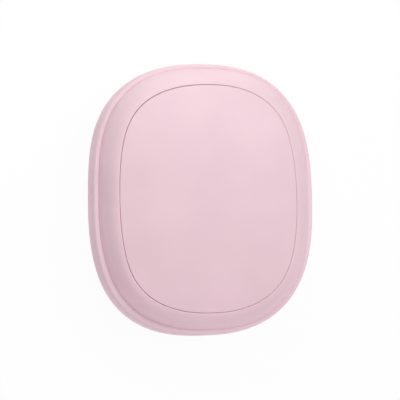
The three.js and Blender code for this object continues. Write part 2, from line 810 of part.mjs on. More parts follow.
function powerButton() {
  const cap = drawnAlongX(buttonPill, flangeX - buttonFlange / 2, halfWidth, 0, portZ, buttonEdge);
  const rim = roundedShape(buttonLength + 2 * buttonFlangeRim, buttonHeight + 2 * buttonFlangeRim,
    buttonHeight / 2 + buttonFlangeRim);
  const flangeSolid = drawnAlongX(rim, flangeX - buttonFlange, flangeX, 0, portZ);
  const stem = new THREE.CylinderGeometry(stemRadius, stemRadius, buttonStem + buttonFlange / 2, roundSteps);
  stem.rotateZ(Math.PI / 2).translate(stemX + (buttonStem + buttonFlange / 2) / 2, 0, portZ);
  return geometryOf(solidOf(cap).add(solidOf(flangeSolid)).add(solidOf(stem)));
}

function switchBody() {
  const outline = roundedShape(switchWidth, switchHeight, switchEdge);
  const body = drawnAlongX(outline, switchX - switchDepth, switchX, 0, boardTopZ + switchHeight / 2);
  const depth = plungerDepth + buttonTravel + plungerGap;
  const bore = new THREE.CylinderGeometry(plungerRadius + plungerGap, plungerRadius + plungerGap,
    depth + overrun, smallRoundSteps);
  bore.rotateZ(Math.PI / 2).translate(switchX + (overrun - depth) / 2, 0, portZ);
  return geometryOf(solidOf(body).subtract(solidOf(bore)));
}

function switchPlunger() {
  const length = plungerReach + plungerDepth;
  const plunger = new THREE.CylinderGeometry(plungerRadius, plungerRadius, length, smallRoundSteps);
  return plunger.rotateZ(Math.PI / 2).translate(plungerX - length / 2, 0, portZ);
}

addPiece('power_button', powerButton(), buttonPink);
addPiece('switch_body', switchBody(), plasticBlack);
addPiece('switch_plunger', switchPlunger(), plasticBlack);

// Status lamps on the board, and one guide whose pins end in the flank's holes
const guideX = halfWidth - guideFromFlank;

function lightGuide() {
  const spots = lampSpots();
  const low = boardTopZ + lampHeight + guideGap;
  let guide = solidOf(block(guideX, spots[lampCount - 1] - guideEndRoom, low,
    guideX + guideDepth, spots[0] + guideEndRoom, low + guideBar));
  for (const y of spots) {
    const from = guideX + guideDepth - pinSink;
    const to = outlineX(y, 0) - pinRecess;
    const pin = new THREE.CylinderGeometry(pinRadius, pinRadius, to - from, smallRoundSteps);
    guide = guide.add(solidOf(pin.rotateZ(Math.PI / 2).translate((from + to) / 2, y, portZ)));
  }
  return geometryOf(guide);
}

lampSpots().forEach((y, index) => {
  const outline = roundedShape(lampWidth, lampLength, lampEdge);
  const lamp = drawnOut(outline, lampHeight, lampEdge, chamferSteps);
  addPiece(`status_lamp_${index + 1}`, lamp.translate(guideX + guideDepth / 2, y, boardTopZ), lampWhite);
});
addPiece('light_guide', lightGuide(), guideClear);

// Parts on the board: one row beside the holder, from the port-end boss up, with the capacitors below it
function boardPart(name, width, length, height, corner, x, y, material) {
  const part = drawnOut(roundedShape(width, length, corner), height, corner / 2, chamferSteps);
  addPiece(name, part.translate(x, y, boardTopZ), material);
}

const bossReach = bossRadius + boardHole;
const stackX = besideX + stackRoom;
const chargeChipY = boardEndY + chargeChipShare * (besideY - boardEndY);
const inductorY = bossReach - bossY + partGap + inductorLength / 2;
const controlChipY = inductorY + inductorLength / 2 + partGap + controlChipLength / 2;
const transistorY = controlChipY + controlChipLength / 2 + partGap + transistorLength / 2;
const capacitorX = besideX + capacitorRoom + capacitorLength / 2;
const capacitorY = -bossY - bossReach - partGap - capacitorWidth / 2;

boardPart('charge_chip', chargeChipLength, chargeChipWidth, chargeChipHeight, chipLead,
  chargeChipX, chargeChipY, plasticBlack);
boardPart('control_chip', controlChipWidth, controlChipLength, controlChipHeight, chipLead,
  stackX, controlChipY, plasticBlack);
boardPart('power_inductor', inductorLength, inductorLength, inductorHeight, inductorCorner,
  stackX, inductorY, ferriteGrey);
[-1, 1].forEach((side, index) => {
  boardPart(`heater_transistor_${index + 1}`, transistorWidth, transistorLength, transistorHeight, chipLead,
    stackX + side * transistorPitch / 2, transistorY, plasticBlack);
});
for (const index of [0, 1, 2]) {
  boardPart(`capacitor_${index + 1}`, capacitorLength, capacitorWidth, capacitorHeight, chipLead,
    capacitorX, capacitorY - index * capacitorPitch, ceramicTan);
}

// Battery connector, open towards the cells
const connectorX = -socketWidth / 2 - connectorRoom - connectorLength / 2;
const connectorY = connectorFromEnd - halfLength;
const connectorBackY = connectorY + connectorWidth / 2;
const connectorZ = boardTopZ + connectorHeight / 2;

function batteryConnector() {
  const body = block(connectorX - connectorLength / 2, connectorY - connectorWidth / 2, boardTopZ,
    connectorX + connectorLength / 2, connectorBackY, boardTopZ + connectorHeight);
  const pocketHalf = connectorLength / 2 - connectorWall;
  const pocket = block(connectorX - pocketHalf, connectorY, boardTopZ + connectorWall,
    connectorX + pocketHalf, connectorBackY + overrun, boardTopZ + connectorHeight - connectorWall);
  return geometryOf(solidOf(body).subtract(solidOf(pocket)));
}

addPiece('battery_connector', batteryConnector(), holderWhite);

// Cell leads, from the strips into the connector
const leadEndY = connectorY + leadEndGap;

function cellLead(points, contactX) {
  const end = [
    new THREE.Vector3(contactX, connectorBackY, connectorZ),
    new THREE.Vector3(contactX, leadEndY, connectorZ),
  ];
  return [...points, ...end];
}

const topStripY = cellEndTop + stripGap + stripThickness + leadEndGap + leadRadius;
const portStripY = cellEndPort - stripGap - stripThickness - leadEndGap;
const crotchZ = cellAxisZ + stripHeight / 2 + leadStripGap + leadRadius;
const negativeX = connectorX + leadPitch / 2;
const negativePoints = cellLead([
  new THREE.Vector3(0, topStripY, cellAxisZ + leadSlack),
  new THREE.Vector3(0, topStripY, crotchZ - leadRadius),
  new THREE.Vector3(0, cellEndTop - cellLeadSlack, crotchZ),
  new THREE.Vector3(0, cellMiddleY, crotchZ),
  new THREE.Vector3(0, cellEndPort + cellLeadSlack, crotchZ),
  new THREE.Vector3(0, portStripY - leadRadius / 2, crotchZ - leadRadius / 2),
  new THREE.Vector3(negativeX / 2, (cellEndPort + connectorBackY) / 2, (crotchZ + connectorZ) / 2),
], negativeX);
const positiveX = positiveLeadInset - (cellPitch + stripOverlap) / 2;
const positivePoints = cellLead([
  new THREE.Vector3(positiveX, portStripY, cellAxisZ + leadSlack),
  new THREE.Vector3(positiveX, portStripY - leadRadius, cellAxisZ + leadSlack),
], connectorX - leadPitch / 2);
addPiece('battery_lead_negative', wire(negativePoints, leadRadius, longWireSteps), leadBlack);
addPiece('battery_lead_positive', wire(positivePoints, leadRadius, shortWireSteps), leadRed);

// Heater leads, with a little slack between film and board
const leadX = besideX + leadRoom;
const frontLeadY = transistorY + transistorLength / 2 + partGap + leadRadius;
const rearLeadY = bossRadius - bossY + partGap + leadRadius;
const thermistorX = leadX;
const thermistorY = frontLeadY + leadPitch + leadRadius + partGap + beadRadius;

function heaterLead(name, y, fromZ, toZ) {
  const points = [
    new THREE.Vector3(leadX, y, fromZ),
    new THREE.Vector3(leadX + leadSlack, y, (fromZ + toZ) / 2),
    new THREE.Vector3(leadX, y, toZ),
  ];
  addPiece(name, wire(points, leadRadius, shortWireSteps), leadWhite);
}

for (const index of [0, 1]) {
  heaterLead(`front_heater_lead_${index + 1}`, frontLeadY + index * leadPitch,
    boardTopZ + leadEndGap, frontTrackZ - leadEndGap);
  heaterLead(`rear_heater_lead_${index + 1}`, rearLeadY + index * leadPitch,
    rearTrackTop + leadEndGap, boardZ - leadEndGap);
}

// Thermistor: a bead against the front film on two legs that stand on the board
function thermistor() {
  const top = frontTrackZ - leadEndGap;
  const bead = new THREE.CapsuleGeometry(beadRadius, beadLength - 2 * beadRadius, beadRings, smallRoundSteps);
  bead.rotateX(Math.PI / 2).translate(thermistorX, thermistorY, top - beadLength / 2);
  let sensor = solidOf(bead);
  for (const side of [-1, 1]) {
    const y = thermistorY + side * legSpread;
    const legTop = top - beadLength + beadRadius + legSink;
    sensor = sensor.add(solidOf(bar(legRadius, thermistorX, y, boardTopZ + leadEndGap, legTop, wireSides)));
  }
  return geometryOf(sensor);
}

addPiece('thermistor', thermistor(), ceramicTan);

export default warmer;
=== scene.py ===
import json
import math

import bmesh
import bpy
import numpy as np
from mathutils import Matrix, Vector


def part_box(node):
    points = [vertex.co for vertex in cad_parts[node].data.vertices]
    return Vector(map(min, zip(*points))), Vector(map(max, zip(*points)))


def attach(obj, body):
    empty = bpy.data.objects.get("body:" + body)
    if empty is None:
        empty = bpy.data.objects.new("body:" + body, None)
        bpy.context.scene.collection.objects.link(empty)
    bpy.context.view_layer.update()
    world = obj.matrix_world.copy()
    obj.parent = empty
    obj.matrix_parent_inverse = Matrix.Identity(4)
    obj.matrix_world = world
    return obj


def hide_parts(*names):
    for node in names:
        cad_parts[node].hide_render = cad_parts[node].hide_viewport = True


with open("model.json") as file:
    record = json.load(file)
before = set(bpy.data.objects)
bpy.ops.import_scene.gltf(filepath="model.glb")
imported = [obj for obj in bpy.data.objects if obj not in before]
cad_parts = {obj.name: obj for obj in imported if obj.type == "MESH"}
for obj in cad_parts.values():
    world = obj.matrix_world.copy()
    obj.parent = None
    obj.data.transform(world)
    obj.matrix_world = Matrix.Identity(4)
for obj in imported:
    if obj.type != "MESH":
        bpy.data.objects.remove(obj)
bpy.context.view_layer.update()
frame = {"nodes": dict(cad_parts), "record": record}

MM = 0.001

# ---------------------------------------------------------------------------
# Sizes of the solids, in millimetres, as the part's source has them
# ---------------------------------------------------------------------------
HALF_WIDTH = 37.75
HALF_LENGTH = 45.0
OUTLINE_POWER = 2.6
SEAM_INSET = 8.3
SHELL_WALL = 1.8
WIDEST_Z = 12.7
LIP_Z = 18.7
LIP_INSET = 2.45
LIP_GAP = 0.3
SKIRT_Z = 16.2
FRONT_SEAM_Z = 25.2
FRONT_PLATE_Z = 24.0
FRONT_SEAT_Z = 23.75
FRONT_FLANGE_Z = 22.55
FRONT_CROWN = 1.8
REAR_SEAM_Z = 1.3
REAR_PLATE_TOP = 2.5
REAR_SEAT_Z = 2.75
REAR_FLANGE_TOP = 3.95
REAR_FLAT_SHARE = 0.6
FLANGE_INSET = 10.8
CROWN_SLOPE = 0.17
DOME_SHOULDER = 2.4
PORT_Z = 11.0
BOARD_TOP_Z = 9.4
BOARD_Z = 8.2
SKIRT_INSET = LIP_INSET + LIP_GAP

# Screw bosses and board posts, and the screws' recesses and holes
HOLDER_HALF_WIDTH = 19.75
BOSS_GAP = 0.3
BOSS_RADIUS = 2.8
BOSS_INSET = 11.5
BOSS_JOINT_Z = 9.0
POST_RADIUS = 2.2
RECESS_RADIUS = 2.1
RECESS_TOP_Z = REAR_SEAT_Z + 3.2
RUNNING_HOLE = 1.2
SCREW_HOLE = 1.1
CASE_SCREW_REACH = 11
BOARD_SCREW_REACH = 5.1

# The button, the charging port, and the light guide with its pins
BUTTON_SIZE = (14.0, 5.0)
BUTTON_CLEARANCE = 0.2
BUTTON_STEM = 1.4
STEM_RADIUS = 1.2
BUTTON_FLANGE = 0.8
BUTTON_FLANGE_RIM = 1
PORT_SIZE = (8.94, 3.2)
PORT_CLEARANCE = 0.35
SOCKET_WALL = 0.3
SOCKET_FLOOR = 1.2
TONGUE_HALF_WIDTH = 3.35
TONGUE_HALF_HEIGHT = 0.35
GUIDE_DEPTH = 2
GUIDE_BAR = 1.4
LAMP_SPOTS = [-11 - 3 * index for index in range(4)]
PIN_RADIUS = 0.75
PIN_CLEARANCE = 0.15
PIN_RECESS = 0.1

# ---------------------------------------------------------------------------
# Finer than the solids
# ---------------------------------------------------------------------------
# Smaller seam edges, a rounder button, a fuller crown, and a shallow crease and groove
SEAM_EDGE = 0.16
EDGE_INSET = SEAM_INSET - SEAM_EDGE
EDGE_ROOM = 0.05
FRONT_EDGE_Z = FRONT_SEAM_Z - SEAM_EDGE - EDGE_ROOM
REAR_EDGE_Z = REAR_SEAM_Z + SEAM_EDGE + EDGE_ROOM
BUTTON_EDGE = 0.35
BUTTON_DISH = 0.22
BOSS_BEVEL = 0.15
FRONT_CROWN_POWER = 3.0
PANEL_CORE = 0.02
FRONT_RIM_SLOPE = 0.12
REAR_RIM_SLOPE = 0.18
LIP_EDGE = 0.06
CREASE_DEPTH = 0.06
CREASE_Z = LIP_Z - CREASE_DEPTH
CREASE_FIT = 0.02
GROOVE_WIDTH = 0.098
GROOVE_DEPTH = 0.32
GROOVE_FIT = 0.03
PANEL_INSET = SEAM_INSET + GROOVE_WIDTH
REAR_LEDGE_INSET = PANEL_INSET - GROOVE_FIT
GAP_ROOM = 0.06
FRONT_LEDGE_INSET = PANEL_INSET - GROOVE_FIT - GAP_ROOM
SEAM_FADE = 0.5

# The flank's outline isn't quite the plain curve, except round the openings, the seam isn't quite
# parallel to it, and the front panel's gap isn't quite even: the changes of inset as cosine and sine
# waves round the turn, from none a turn upwards
FLANK_WAVES = ((0.06, 0), (-0.008, 0.049), (-0.007, -0.068), (-0.091, -0.012), (0.051, 0.046),
               (-0.043, -0.02), (0.066, -0.005), (0.028, 0.04), (-0.049, -0.029))
SEAM_WAVES = ((0.173, 0), (0.031, 0.008), (-0.01, 0.051), (-0.038, -0.021), (-0.066, 0.026),
              (-0.06, 0.025), (0.13, -0.006), (0.02, 0), (-0.119, -0.003))
GAP_WAVES = ((0, 0), (-0.041, -0.004), (-0.022, -0.012), (0.018, -0.006))

# The lip is a little wider along the sides, and narrower at the two ends
LIP_SIDE_GAIN = 0.08
LIP_END_LOSS = 0.6

# Its crease runs further in at the lower left and a little further out elsewhere:
# the way that the outline faces, in degrees, and the change of inset there
LIP_FACINGS = (0, 45, 75, 92, 112, 150, 180, 195, 220, 235, 248, 258, 266, 276, 300, 330)
LIP_CHANGES = (-0.35, -0.35, -0.2, 0, -0.18, -0.3, -0.42, -0.03,
               0.55, 0.78, 0.84, 0.62, 0.25, 0, -0.2, -0.35)
LIP_BLUR = (-6, -3, 0, 3, 6)

# The flank leans in evenly from the widest outline, then rolls over into the lip
FLANK_BEND = 0.35
ROLL_START = (0.62, 17.6)
ROLL_END = 1.95

# Facets, and what counts as smooth or as the same place
CELL_SIDES = 72
OUTLINE_SIDES = 320
HOLE_SIDES = 96
SMALL_SIDES = 40
CORNER_STEPS = 5
SHARP_ANGLE = math.radians(38)
MERGE_METRES = 1e-7
SAME = 1e-6
NEAR = 0.01
DOUBLE = 1e-4


# ---------------------------------------------------------------------------
# Mesh helpers
# ---------------------------------------------------------------------------
def waves(turn, table):
    """The sum of the waves round a turn"""
    return sum(even * np.cos(count * turn) + odd * np.sin(count * turn)
               for count, (even, odd) in enumerate(table))


def lip_change(out_x, out_y):
    """The change of the crease's inset where the outline faces a way"""
    facing = np.degrees(np.arctan2(out_y, out_x)) % 360
    change = sum(np.interp(facing + blur, LIP_FACINGS, LIP_CHANGES, period=360)
                 for blur in LIP_BLUR) / len(LIP_BLUR)
    return change + LIP_SIDE_GAIN * out_x ** 2 - LIP_END_LOSS * out_y ** 2


def outline(inset, z, scale=1.0, lip=0.0, seam=0.0, gap=0.0):
    """The widest outline's parallel curve at an inset, as points at a height.
    lip, seam and gap say how far it follows the lip's crease, the seam and the front panel's gap."""
    turn = np.linspace(0, 2 * math.pi, OUTLINE_SIDES, endpoint=False)
    across, along = np.cos(turn), np.sin(turn)
    reach = (np.abs(across / HALF_WIDTH) ** OUTLINE_POWER
             + np.abs(along / HALF_LENGTH) ** OUTLINE_POWER)
    radius = reach ** (-1 / OUTLINE_POWER)
    x, y = radius * across, radius * along
    slope_x = np.sign(x) * np.abs(x / HALF_WIDTH) ** (OUTLINE_POWER - 1) / HALF_WIDTH
    slope_y = np.sign(y) * np.abs(y / HALF_LENGTH) ** (OUTLINE_POWER - 1) / HALF_LENGTH
    size = np.hypot(slope_x, slope_y)
    out_x, out_y = slope_x / size, slope_y / size
    flank = np.interp(inset, (SKIRT_INSET, EDGE_INSET), (1, 0))
    inset = (inset + lip * lip_change(out_x, out_y) + flank * waves(turn, FLANK_WAVES)
             + seam * waves(turn, SEAM_WAVES) + gap * waves(turn, GAP_WAVES))
    return np.column_stack([
        (x - out_x * inset) * scale, (y - out_y * inset) * scale, np.full(OUTLINE_SIDES, z)])


def lip_share(inset, z):
    """How far a ring of the shells follows the lip: fully from the lip to the skirt, and not at all at
    the seam, on the flank and below the skirt"""
    if z < SKIRT_Z - NEAR:
        return 0.0
    return float(np.interp(inset, (ROLL_START[0], LIP_INSET, SKIRT_INSET, EDGE_INSET), (0, 1, 1, 0)))


def seam_share(inset):
    """How far a ring of the shells follows the seam: fully at the groove, not at all at the shoulder"""
    return float(np.interp(inset, (SKIRT_INSET + DOME_SHOULDER, EDGE_INSET - SEAM_FADE), (0, 1)))


def outline_x(y, inset):
    """Where the outline at an inset has a given y, on its +X side"""
    share = np.abs(y) / (HALF_LENGTH - inset)
    return (HALF_WIDTH - inset) * (1 - share ** OUTLINE_POWER) ** (1 / OUTLINE_POWER)


def outline_y(x, inset):
    """Where the outline at an inset has a given x, on its +Y side"""
    share = np.abs(x) / (HALF_WIDTH - inset)
    return (HALF_LENGTH - inset) * (1 - share ** OUTLINE_POWER) ** (1 / OUTLINE_POWER)


def bend(start, corner, end, steps):
    """Points along a curve that is bent once"""
    share = np.linspace(0, 1, steps + 1)[:, None]
    start, corner, end = np.array(start), np.array(corner), np.array(end)
    return (1 - share) ** 2 * start + 2 * share * (1 - share) * corner + share ** 2 * end


def inside(start, corner, end, steps):
    """The same curve, one wall further in"""
    share = np.linspace(0, 1, steps + 1)[:, None]
    curve = bend(start, corner, end, steps)
    start, corner, end = np.array(start), np.array(corner), np.array(end)
    along = 2 * (1 - share) * (corner - start) + 2 * share * (end - corner)
    along = along / np.linalg.norm(along, axis=1)[:, None]
    return curve + SHELL_WALL * np.column_stack([along[:, 1], -along[:, 0]])


def rounded(before, at, after, radius):
    """An arc in place of the corner at `at`"""
    before, at, after = (np.array(spot, float) for spot in (before, at, after))
    back = (before - at) / np.linalg.norm(before - at)
    ahead = (after - at) / np.linalg.norm(after - at)
    half = math.acos(np.clip(np.dot(back, ahead), -1, 1)) / 2
    centre = at + (back + ahead) / np.linalg.norm(back + ahead) * radius / math.sin(half)
    start = at + back * radius / math.tan(half) - centre
    end = at + ahead * radius / math.tan(half) - centre
    span = math.pi - 2 * half
    share = np.linspace(0, 1, CORNER_STEPS + 1)[:, None]
    return centre + (np.sin((1 - share) * span) * start + np.sin(share * span) * end) / math.sin(span)


def scratch(name, part):
    """An object from points in millimetres and faces"""
    points, faces = part
    mesh = bpy.data.meshes.new(name)
    mesh.from_pydata((np.asarray(points) * MM).tolist(), [], faces)
    piece = bpy.data.objects.new(name, mesh)
    bpy.context.scene.collection.objects.link(piece)
    tidy_mesh(piece)
    return piece


def add_mesh(name, part, material, body):
    """A visible piece"""
    piece = scratch(name, part)
    piece.data.materials.append(material)
    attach(piece, body)
    return piece


def tidy_mesh(piece):
    """Faces that look out, smooth but for real edges"""
    mesh = piece.data
    work = bmesh.new()
    work.from_mesh(mesh)
    bmesh.ops.remove_doubles(work, verts=work.verts, dist=MERGE_METRES)
    bmesh.ops.recalc_face_normals(work, faces=work.faces)
    work.to_mesh(mesh)
    work.free()
    mesh.polygons.foreach_set("use_smooth", [True] * len(mesh.polygons))
    mesh.set_sharp_from_angle(angle=SHARP_ANGLE)
    mesh.update()


def loft(rows, ring=False):
    """Points and faces through rows of as many points each. Without a ring, both ends are closed."""
    count = len(rows[0])
    points = np.vstack(rows)
    faces = []
    last = len(rows) if ring else len(rows) - 1
    for row in range(last):
        low, high = row * count, (row + 1) % len(rows) * count
        for step in range(count):
            turn = (step + 1) % count
            faces.append((low + step, low + turn, high + turn, high + step))
    if not ring:
        for row, flip in ((0, True), (len(rows) - 1, False)):
            middle = len(points)
            points = np.vstack([points, points[row * count:(row + 1) * count].mean(axis=0)])
            for step in range(count):
                a, b = row * count + step, row * count + (step + 1) % count
                faces.append((middle, b, a) if flip else (middle, a, b))
    return points, faces


def join(parts):
    """Several (points, faces) as one"""
    points, faces, start = [], [], 0
    for part_points, part_faces in parts:
        points.append(part_points)
        faces += [tuple(start + corner for corner in face) for face in part_faces]
        start += len(part_points)
    return np.vstack(points), faces


def pebble(stations, ring=False, gap=0.0):
    """A loft of outlines at (inset, z) or (inset, z, scale): a shell's as a ring, or a panel's"""
    rows = []
    for inset, z, *scale in stations:
        lip = lip_share(inset, z) if ring else 0.0
        seam = seam_share(inset) if ring else 1.0
        rows.append(outline(inset, z, *scale or (1.0,), lip=lip, seam=seam, gap=gap))
    return loft(rows, ring)


def pill(size, rim=0.0):
    """A slot's outline round the origin, grown by a rim, with even spacing"""
    width, height = size[0] + 2 * rim, size[1] + 2 * rim
    radius = min(width, height) / 2
    run = max(width, height) - 2 * radius
    length = 2 * run + 2 * math.pi * radius
    points = []
    for step in range(HOLE_SIDES):
        way = length * step / HOLE_SIDES
        if way < run:
            points.append((way - run / 2, -radius))
        elif way < run + math.pi * radius:
            turn = (way - run) / radius - math.pi / 2
            points.append((run / 2 + radius * math.cos(turn), radius * math.sin(turn)))
        elif way < 2 * run + math.pi * radius:
            points.append((run / 2 - (way - run - math.pi * radius), radius))
        else:
            turn = (way - 2 * run - math.pi * radius) / radius + math.pi / 2
            points.append((-run / 2 + radius * math.cos(turn), radius * math.sin(turn)))
    points = np.array(points)
    return points if width >= height else points[:, ::-1] * [1, -1]


def circle(radius, sides=SMALL_SIDES):
    """A circle's outline round the origin"""
    turn = np.linspace(0, 2 * math.pi, sides, endpoint=False)
    return np.column_stack([radius * np.cos(turn), radius * np.sin(turn)])


def combine(piece, other, operation):
    """Joins another mesh to a piece, or cuts it out, and applies the result"""
    cut = piece.modifiers.new("combine", "BOOLEAN")
    cut.operation = operation
    cut.solver = "EXACT"
    cut.object = other
    graph = bpy.context.evaluated_depsgraph_get()
    mesh = bpy.data.meshes.new_from_object(piece.evaluated_get(graph))
    old = piece.data
    piece.modifiers.clear()
    piece.data = mesh
    bpy.data.meshes.remove(old)
    bpy.data.objects.remove(other)
    tidy_mesh(piece)


def across_x(spots, x, y=0.0):
    """An outline's points, moved along the flank by y, at a place on X"""
    return np.column_stack([np.broadcast_to(x, len(spots)), spots[:, 0] + y, spots[:, 1] + PORT_Z])


def across_y(spots, y, x=0.0, z=PORT_Z):
    """An outline's points round (x, z), at a place on Y"""
    return np.column_stack([spots[:, 0] + x, np.broadcast_to(y, len(spots)), spots[:, 1] + z])


# ---------------------------------------------------------------------------
# Materials
# ---------------------------------------------------------------------------
def add_node(tree, kind, **values):
    """A node, with plain values for its inputs"""
    node = tree.nodes.new("ShaderNode" + kind)
    for name, value in values.items():
        node.inputs[name.replace("_", " ")].default_value = value
    return node


def calculate(tree, operation, *values):
    """A maths node's result, from outputs of other nodes and plain numbers"""
    node = add_node(tree, "Math")
    node.operation = operation
    for socket, value in zip(node.inputs, values):
        if isinstance(value, float):
            socket.default_value = value
        else:
            tree.links.new(value, socket)
    return node.outputs[0]


class Surface:
    """A node material on one shader, with coordinates in metres"""

    def __init__(self, name, roughness, metallic=0.0):
        self.material = bpy.data.materials.new(name)
        self.material.use_nodes = True
        self.tree = self.material.node_tree
        self.links = self.tree.links
        self.shader = self.tree.nodes["Principled BSDF"]
        self.set(Roughness=roughness, Metallic=metallic)
        self.place = add_node(self.tree, "TexCoord").outputs["Object"]

    def set(self, **values):
        for name, value in values.items():
            self.shader.inputs[name.replace("_", " ")].default_value = value
        return self

    def noise(self, scale, detail, stretch=None):
        node = add_node(self.tree, "TexNoise", Scale=scale, Detail=detail)
        place = self.place
        if stretch is not None:
            mapping = add_node(self.tree, "Mapping", Scale=stretch)
            self.links.new(place, mapping.inputs["Vector"])
            place = mapping.outputs["Vector"]
        self.links.new(place, node.inputs["Vector"])
        return node.outputs["Fac"]

    def cells(self, scale):
        node = add_node(self.tree, "TexVoronoi", Scale=scale)
        self.links.new(self.place, node.inputs["Vector"])
        return node.outputs["Distance"]

    def ramp(self, factor, *stops):
        """A colour between two (factor, colour) stops"""
        node = add_node(self.tree, "ValToRGB")
        for element, (position, colour) in zip(node.color_ramp.elements, stops):
            element.position = position
            element.color = (*colour, 1)
        self.links.new(factor, node.inputs["Fac"])
        return node.outputs["Color"]

    def tones(self, factor, colour, low, high, start=0.3, end=0.7):
        """A colour from `low` to `high` times its brightness, as a factor goes from start to end"""
        return self.ramp(factor, (start, shade(colour, low)), (end, shade(colour, high)))

    def axis_of(self, vector, axis):
        node = add_node(self.tree, "SeparateXYZ")
        self.links.new(vector, node.inputs["Vector"])
        return node.outputs[axis]

    def outer_share(self, axis, limit):
        """1 near both ends of the piece's box along an axis, further than the limit from its middle"""
        spot = add_node(self.tree, "TexCoord").outputs["Generated"]
        way = calculate(self.tree, "SUBTRACT", self.axis_of(spot, axis), 0.5)
        return calculate(self.tree, "GREATER_THAN", calculate(self.tree, "ABSOLUTE", way), limit)

    def share_along(self, axis, start, end):
        """0 up to one place on an axis in millimetres, 1 from another, and even between"""
        node = add_node(self.tree, "MapRange", From_Min=start * MM, From_Max=end * MM)
        self.links.new(self.axis_of(self.place, axis), node.inputs["Value"])
        return node.outputs["Result"]

    def mixed(self, share, colour_output, colour):
        node = add_node(self.tree, "Mix")
        node.data_type = "RGBA"
        self.links.new(share, node.inputs["Factor"])
        self.links.new(colour_output, node.inputs["A"])
        node.inputs["B"].default_value = (*colour, 1)
        return node.outputs["Result"]

    def colour(self, output):
        self.links.new(output, self.shader.inputs["Base Color"])

    def rough(self, factor, low, high):
        """Roughness from low to high with a factor"""
        node = add_node(self.tree, "MapRange", To_Min=low, To_Max=high)
        self.links.new(factor, node.inputs["Value"])
        self.links.new(node.outputs["Result"], self.shader.inputs["Roughness"])

    def bump(self, strength, *heights):
        """Bumps from (height output, depth in metres) pairs, one on the next"""
        last = None
        for height, depth in heights:
            node = add_node(self.tree, "Bump", Strength=strength, Distance=depth)
            self.links.new(height, node.inputs["Height"])
            if last is not None:
                self.links.new(last, node.inputs["Normal"])
            last = node.outputs["Normal"]
        self.links.new(last, self.shader.inputs["Normal"])


def linear(red, green, blue):
    """A display colour of 0 to 255 as linear light"""
    return tuple(
        value / 12.92 if value <= 0.04045 else ((value + 0.055) / 1.055) ** 2.4
        for value in (red / 255, green / 255, blue / 255))


def shade(colour, factor):
    return tuple(min(channel * factor, 1.0) for channel in colour)


SOFT_PINK = linear(240, 206, 217)
# Painted highlight: a paler pink on the top 0.3 mm of the rear shell's lip, full below y = 3 mm and gone
# above y = 20 mm
PAINTED_HIGHLIGHT_PINK = linear(247, 217, 228)
HIGHLIGHT_DEPTH = 0.3
HIGHLIGHT_FADE = (20, 3)


def moulded(name, colour, roughness, spread=0.03, highlight_colour=None):
    """Moulded plastic: a fine even grain, and a slight drift of colour and gloss. The rear shell's has a
    painted highlight: its lip's edge is a paler pink, strongest towards the port end."""
    surface = Surface(name, roughness)
    drift = surface.noise(scale=55, detail=3)
    body = surface.tones(drift, colour, 1 - spread, 1 + spread)
    # Painted highlight: the lip's top is mixed towards the paler pink
    if highlight_colour is not None:
        rim = calculate(surface.tree, "MULTIPLY",
                        surface.share_along("Z", LIP_Z - HIGHLIGHT_DEPTH, LIP_Z - LIP_EDGE),
                        surface.share_along("Y", *HIGHLIGHT_FADE))
        body = surface.mixed(rim, body, highlight_colour)
    surface.colour(body)
    surface.rough(surface.noise(scale=160, detail=4), roughness - 0.05, roughness + 0.05)
    surface.bump(0.4, (surface.noise(scale=2400, detail=3), 0.00001), (drift, 0.00002))
    return surface.material


def metal(name, colour, roughness, stretch=(1, 1, 1)):
    """Metal with fine drawn lines along one way"""
    surface = Surface(name, roughness, 1.0)
    lines = surface.noise(1800, 4, stretch)
    surface.colour(surface.tones(lines, colour, 0.9, 1.08, 0.25, 0.75))
    surface.rough(lines, roughness - 0.06, roughness + 0.08)
    surface.bump(0.35, (lines, 0.000004))
    return surface.material


def foil(name, colour, roughness, gloss):
    """Thin sheet with faint handling waves under a clear gloss"""
    surface = Surface(name, roughness).set(Coat_Weight=gloss)
    wave = surface.noise(scale=90, detail=2)
    surface.colour(surface.tones(wave, colour, 0.88, 1.1))
    surface.rough(surface.noise(scale=900, detail=3), roughness - 0.06, roughness + 0.06)
    surface.bump(0.3, (wave, 0.00008))
    return surface.material


def foam(name, colour, cell_scale=2600, depth=0.00012):
    """Closed-cell foam: open pits on the cut face"""
    surface = Surface(name, 0.92)
    pits = surface.cells(cell_scale)
    surface.colour(surface.tones(pits, colour, 0.55, 1.15, 0.1, 0.6))
    surface.bump(0.6, (pits, depth), (surface.noise(scale=120, detail=3), depth))
    return surface.material


def silicone(name, colour):
    """Wire insulation: soft, a little dusty"""
    surface = Surface(name, 0.62)
    dust = surface.noise(scale=700, detail=4)
    surface.colour(surface.tones(dust, colour, 0.9, 1.12, 0.35, 0.75))
    surface.rough(dust, 0.54, 0.7)
    surface.bump(0.3, (surface.noise(scale=3000, detail=2), 0.000008))
    return surface.material


def clear(name, colour, through, roughness):
    """Clear moulding, a little milky"""
    surface = Surface(name, roughness).set(Transmission_Weight=through, IOR=1.49)
    haze = surface.noise(scale=400, detail=3)
    surface.colour(surface.tones(haze, colour, 0.96, 1))
    surface.rough(haze, roughness - 0.04, roughness + 0.06)
    surface.bump(0.3, (surface.noise(scale=1500, detail=2), 0.000006))
    return surface.material


def circuit_board():
    """Green solder mask: tracks show through it as a lighter, raised net"""
    surface = Surface("solder_mask", 0.32).set(Coat_Weight=0.35)
    tracks = add_node(
        surface.tree, "TexBrick", Scale=150.0, Mortar_Size=0.03, Mortar_Smooth=0.2, Row_Height=0.31,
        Color1=(0.008, 0.12, 0.045, 1), Color2=(0.012, 0.16, 0.055, 1), Mortar=(0.03, 0.25, 0.09, 1))
    surface.links.new(surface.place, tracks.inputs["Vector"])
    surface.colour(tracks.outputs["Color"])
    surface.rough(surface.noise(scale=500, detail=3), 0.26, 0.4)
    surface.bump(0.5, (tracks.outputs["Fac"], 0.00003), (surface.noise(scale=1200, detail=2), 0.00001))
    return surface.material


